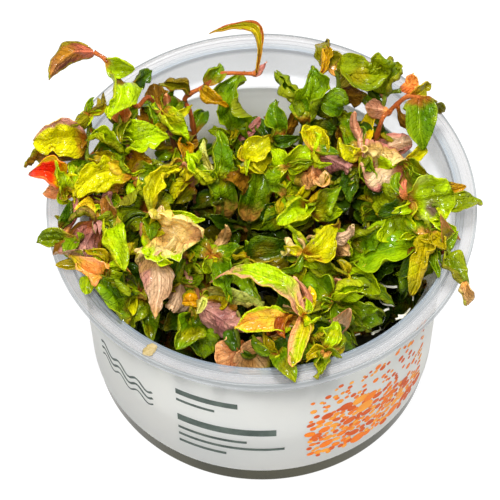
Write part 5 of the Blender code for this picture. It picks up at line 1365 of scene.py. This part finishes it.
def tissue(name, roughness, wax, glow, colour_gain, vein_depth):
    """Living tissue: pigment in soft mottling between branching veins, a waxy skin, light let through."""
    made, tree = blank(name)
    pigment = add(tree, "Attribute", attribute_name="pigment")
    place = add(tree, "UVMap", uv_map="measure")
    down = add(tree, "SeparateXYZ", {0: place}, out="X")
    aside = add(tree, "SeparateXYZ", {0: place}, out="Y")
    beside = add(tree, "Math", {0: aside}, operation="ABSOLUTE")
    # side veins leave the midrib about every 1.6 mm and run forward to the margin
    wobble = add(tree, "TexNoise", {"Vector": place, "Scale": 4.0, "Detail": 2.0})
    forward = add(tree, "Math", {0: beside, 1: -0.9, 2: down}, operation="MULTIPLY_ADD")
    run = add(tree, "Math", {0: wobble, 1: 0.12, 2: forward}, operation="MULTIPLY_ADD")
    saw = add(tree, "Math", {0: run, 1: 0.08}, operation="PINGPONG")
    lateral = add(tree, "MapRange", {
        "Value": saw, "From Min": 0.0, "From Max": 0.022, "To Min": 1.0, "To Max": 0.0})
    midrib = add(tree, "MapRange", {
        "Value": beside, "From Min": 0.015, "From Max": 0.045, "To Min": 1.0, "To Max": 0.0})
    veins = add(tree, "Math", {0: lateral, 1: midrib}, operation="MAXIMUM")
    # the net between the veins is 0.3 mm across, drawn at 0.7 mm so that it shows
    net = add(tree, "TexVoronoi", {"Vector": place, "Scale": 14.0}, feature="DISTANCE_TO_EDGE")
    mottle = add(tree, "TexNoise", {"Vector": place, "Scale": 9.0, "Detail": 5.0, "Roughness": 0.65})
    shade = add(tree, "MapRange", {
        "Value": mottle, "From Min": 0.3, "From Max": 0.7, "To Min": 1.24, "To Max": 1.44})
    drawn = add(tree, "VectorMath", {0: place, 1: (1.2, 18.0, 1.0)}, operation="MULTIPLY")
    streak = add(tree, "TexNoise", {"Vector": drawn, "Scale": 1.0, "Detail": 2.0})
    streaked = add(tree, "MapRange", {
        "Value": streak, "From Min": 0.3, "From Max": 0.7, "To Min": -0.18, "To Max": 0.16})
    shade = add(tree, "Math", {0: shade, 1: streaked}, operation="ADD")
    shade = add(tree, "Math", {0: veins, 1: 0.1, 2: shade}, operation="MULTIPLY_ADD")
    # painted shade: leaves are darkened the lower they stand in the cup, for the shade deep in the crowd
    height = add(tree, "SeparateXYZ", {0: add(tree, "TexCoord", out="Object")}, out="Z")
    painted_depth_shade = add(tree, "MapRange", {
        "Value": height, "From Min": SHADED[0] * MM, "From Max": SHADED[1] * MM, "To Min": 0.55,
        "To Max": 1.0})
    shade = add(tree, "Math", {0: shade, 1: painted_depth_shade}, operation="MULTIPLY")
    colour = add(tree, "VectorMath", {0: pigment, "Scale": shade}, operation="SCALE")
    lit = add(tree, "VectorMath", {0: colour, "Scale": colour_gain}, operation="SCALE")
    drawn = add(tree, "VectorMath", {0: place, 1: (1.6, 26.0, 1.0)}, operation="MULTIPLY")
    grain = add(tree, "TexNoise", {"Vector": drawn, "Scale": 1.0, "Detail": 3.0})
    height = add(tree, "Math", {0: veins, 1: vein_depth, 2: mottle}, operation="MULTIPLY_ADD")
    height = add(tree, "Math", {0: grain, 1: 1.7, 2: height}, operation="MULTIPLY_ADD")
    height = add(tree, "Math", {0: net, 1: 0.8, 2: height}, operation="MULTIPLY_ADD")
    skin = add(tree, "Bump", {"Height": height, "Strength": 0.85, "Distance": 0.0006})
    gloss = add(tree, "MapRange", {
        "Value": mottle, "From Min": 0.3, "From Max": 0.7, "To Min": roughness - 0.08,
        "To Max": roughness + 0.12})
    shader = add(tree, "BsdfPrincipled", {
        "Base Color": colour, "Roughness": gloss, "IOR": 1.42, "Specular IOR Level": 0.08, "Normal": skin,
        "Coat Weight": wax, "Coat Roughness": 0.1, "Coat IOR": 1.42})
    through = add(tree, "BsdfTranslucent", {"Color": lit, "Normal": skin})
    both = add(tree, "MixShader", {0: glow, 1: shader, 2: through})
    add(tree, "OutputMaterial", {"Surface": both})
    return made


# A leaf's upper side has a waxy, wet gloss with small sharp lights on it. Its underside is duller
# and shows the veins more. Withered tissue is papery and lets little light through. Stem skin is
# taut and streaked lengthwise.
leaf_finishes = [tissue("waxy_leaf_upper_side", 0.26, 0.6, 0.34, 1.35, -0.5),
                 tissue("thin_leaf_underside", 0.32, 0.32, 0.34, 1.35, 0.7),
                 tissue("withered_leaf", 0.5, 0.15, 0.22, 1.0, 0.6),
                 tissue("taut_stem_skin", 0.34, 0.3, 0.15, 1.0, 0.2)]

for name, (stem_tint, nodes, leaves) in SHOOTS.items():
    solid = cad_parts["shoot_" + name]
    corners = KDTree(len(solid.data.vertices))
    for vertex in solid.data.vertices:
        corners.insert(vertex.co / MM, vertex.index)
    corners.balance()
    # the stem starts from the middle of the solid's lowest corners, in the gel
    places = {tuple(round(value, 2) for value in vertex.co / MM) for vertex in solid.data.vertices}
    lowest = sorted(places, key=lambda place: place[2])[:4]
    root = sum((Vector(place) for place in lowest), Vector()) / len(lowest)
    stem = [root] + [sight(*node) for node in nodes]
    shoot = {"points": [], "faces": [], "pigment": [], "measure": [], "finish": []}
    course = add_stem(shoot, stem, stem_tint, random.Random(name).uniform(0, 50))
    add_lower_leaves(shoot, course, stem[1].z, name)
    add_wall_leaves(shoot, stem, name)
    for index, spec in enumerate(leaves):
        order = sum(other["node"] == spec["node"] for other in leaves[:index])
        base = base_on(stem, spec["node"], order)
        tip, turn = settled(corners, base, spec)
        turn += spec.get("lean", 0)
        add_leaf(shoot, base, tip, turn, spec, f"{name} {index}")
        if name not in STANDING_CLEAR or base.z < CUP_HEIGHT:
            add_partners(shoot, base, tip, spec, f"{name} {index}")
    if name not in STANDING_CLEAR:
        add_tufts(shoot, stem, leaves, name)
    mesh = bpy.data.meshes.new("leafy_" + name)
    mesh.from_pydata([Vector(point) * MM for point in shoot["points"]], [], shoot["faces"])
    pigment = mesh.color_attributes.new("pigment", "FLOAT_COLOR", "POINT")
    pigment.data.foreach_set("color", np.array(shoot["pigment"], dtype=np.float32).ravel())
    layer = mesh.uv_layers.new(name="measure")
    corners_of = np.empty(len(mesh.loops), dtype=np.int64)
    mesh.loops.foreach_get("vertex_index", corners_of)
    layer.data.foreach_set("uv", np.array(shoot["measure"], dtype=np.float32)[corners_of].ravel())
    for material in leaf_finishes:
        mesh.materials.append(material)
    mesh.polygons.foreach_set("material_index", np.array(shoot["finish"], dtype=np.int32))
    mesh.shade_smooth()
    piece = show("leafy_" + name, mesh)
    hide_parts("shoot_" + name)


# Fine white roots grow from the stems' feet, wander over the gel and climb a little way up the wall
# at the right, where they show between the leaves. Each is a soft thread 0.3 to 0.8 mm thick where
# it starts, and thinner further on.
ROOT_SIDES = 7
ROOTS = 70
ROOTS_AT_RIGHT = 34             # of those
ROOT_STEP = 0.9
ROOT_CLEARANCE = 0.6            # from the wall
ROOT_TAPER = 0.75               # the share of its thickness that a root loses on its way
HANGING_ROOTS = ((32, -25, -14, 3), (30, -31, -14, 4), (23, -36, -15, 2))   # u, v, h and how many
HANGING_STEP = 0.8
HANGING_CLEARANCE = 0.7
HANGING_TAPER = 0.7

# Wet root skin is a warm white, a little patchy and shiny.
root_skin, tree = blank("wet_white_root_skin")
spot = add(tree, "TexCoord", out="Object")
tone = add(tree, "TexNoise", {"Vector": spot, "Scale": 400.0, "Detail": 3.0})
pale = add(tree, "ValToRGB", {"Fac": tone}, [(0.3, "CFC9A8"), (0.65, "F3F1E2")])
skin = add(tree, "Bump", {"Height": tone, "Strength": 0.3, "Distance": 0.0002})
gloss = add(tree, "MapRange", {"Value": tone, "To Min": 0.2, "To Max": 0.4})
shader = add(tree, "BsdfPrincipled", {"Base Color": pale, "Roughness": gloss, "IOR": 1.4, "Normal": skin})
add(tree, "OutputMaterial", {"Surface": shader})


def add_root(points, faces, course, thick, taper):
    """Put a root with the others: a thread along the course, which thins by that share."""
    radii = [thick * (1 - taper * step / len(course)) for step in range(len(course))]
    made, made_faces = tube(course, radii, ROOT_SIDES)
    start = len(points)
    points += [point * MM for point in made]
    faces += [[start + corner for corner in face] for face in made_faces]


draw = random.Random(21)
points, faces = [], []
for index in range(ROOTS):
    right = index < ROOTS_AT_RIGHT
    angle = draw.uniform(-0.9, 0.45) if right else draw.uniform(0, math.tau)
    reach = draw.uniform(28, 37) if right else draw.uniform(6, 36)
    place = Vector((reach * math.cos(angle), reach * math.sin(angle), GEL_TOP + 0.1))
    heading = angle + draw.uniform(-1.4, 1.4)
    climb = draw.uniform(0.1, 0.55) if right else draw.uniform(0, 0.06)
    course = [place.copy()]
    for step in range(draw.randint(9, 18)):
        heading += draw.uniform(-0.5, 0.5)
        rising = climb * draw.uniform(0.4, 1.4)
        place = place + Vector((math.cos(heading), math.sin(heading), rising)) * ROOT_STEP
        # a root that meets the wall turns along it
        if held_in(place, wall_radius(place.z) - WALL - ROOT_CLEARANCE):
            heading += 0.6
        course.append(place.copy())
    thick = draw.uniform(0.16, 0.42) if right else draw.uniform(0.14, 0.28)
    add_root(points, faces, course, thick, ROOT_TAPER)
# some of them hang from the stems' lower nodes, close to the wall at the front right
for u, v, h, count in HANGING_ROOTS:
    for index in range(count):
        place = sight(u + draw.uniform(-1.6, 1.6), v + draw.uniform(-2, 2), h + draw.uniform(-2, 3))
        heading, climb = draw.uniform(0, math.tau), draw.uniform(-0.9, 0.1)
        course = [place.copy()]
        for step in range(draw.randint(5, 9)):
            heading += draw.uniform(-0.5, 0.5)
            way = Vector((math.cos(heading), math.sin(heading), climb)).normalized()
            place = place + way * HANGING_STEP
            held_in(place, wall_radius(place.z) - WALL - HANGING_CLEARANCE)
            course.append(place.copy())
        add_root(points, faces, course, draw.uniform(0.2, 0.42), HANGING_TAPER)
mesh = bpy.data.meshes.new("white_roots")
mesh.from_pydata(points, [], faces)
mesh.materials.append(root_skin)
mesh.shade_smooth()
show("white_roots", mesh)


# The cup stands on a plain white sweep of paper, lit so evenly that it has hardly a shadow. It is
# staging, and no part of the object.
FLOOR_SIZE = 4                  # metres
FLOOR_GAP = 0.00005             # metres below the cup's foot

# Matt white paper gives an even pale ground with no shine.
sweep, tree = blank("matt_white_sweep")
spot = add(tree, "TexCoord", out="Object")
grain = add(tree, "TexNoise", {"Vector": spot, "Scale": 300.0})
tone = add(tree, "ValToRGB", {"Fac": grain}, [(0.0, "606060"), (1.0, "666666")])
shader = add(tree, "BsdfPrincipled", {
    "Base Color": tone, "Roughness": 0.9, "Emission Color": linear("FFFFFF"), "Emission Strength": 0.94})
add(tree, "OutputMaterial", {"Surface": shader})
bpy.ops.mesh.primitive_plane_add(size=FLOOR_SIZE, location=(0, 0, -FLOOR_GAP))
studio_floor = bpy.context.object
studio_floor.name = "studio_floor"
studio_floor.data.materials.append(sweep)


# Two soft boxes and a small sharp lamp above, and a wide low box in front, light the cup, and a
# pale surround fills the shadows. The camera looks down at the cup from the front with a long lens.
EYE = Vector((-2.796, -366.15, 579.55)) * MM
AIM = Vector((-2.796, 26.429, 0)) * MM
LENS = 197.4                    # millimetres, on a sensor of that width
SENSOR = 36
ROLL = math.radians(-0.515)
LIT_PLACE = Vector((0, 0, 0.05))     # where the lights point, in metres
SOFT_BOXES = (("key", (-0.1, -0.32, 0.8), 0.18, 4.3), ("top", (0.1, 0.25, 0.85), 0.3, 6.0),
              ("fill", (0.02, -0.72, 0.1), 0.4, 1.7), ("spark", (0.05, 0.1, 0.9), 0.04, 2.8))
SURROUND = 0.47                 # how bright the surround is
for name, place, size, power in SOFT_BOXES:
    light = bpy.data.lights.new(name, "AREA")
    light.size = size
    light.energy = power
    lamp = bpy.data.objects.new(name, light)
    lamp.location = place
    lamp.rotation_euler = (LIT_PLACE - Vector(place)).to_track_quat("-Z", "Y").to_euler()
    bpy.context.scene.collection.objects.link(lamp)
surround = bpy.data.worlds.new("surround")
surround.use_nodes = True
backdrop = surround.node_tree.nodes["Background"].inputs
backdrop["Color"].default_value = linear("F6F9FC")
backdrop["Strength"].default_value = SURROUND
bpy.context.scene.world = surround
bpy.context.scene.view_settings.view_transform = "Standard"

lens = bpy.data.cameras.new("camera")
lens.lens = LENS
lens.sensor_width = SENSOR
lens.clip_end = 10
camera = bpy.data.objects.new("camera", lens)
forward = (AIM - EYE).normalized()
right = forward.cross(Vector((0, 0, 1))).normalized()
up = right.cross(forward)
rolled_right = right * math.cos(ROLL) + up * math.sin(ROLL)
rolled_up = up * math.cos(ROLL) - right * math.sin(ROLL)
camera.matrix_world = Matrix((rolled_right, rolled_up, -forward)).transposed().to_4x4()
camera.location = EYE
bpy.context.scene.collection.objects.link(camera)
bpy.context.scene.camera = camera
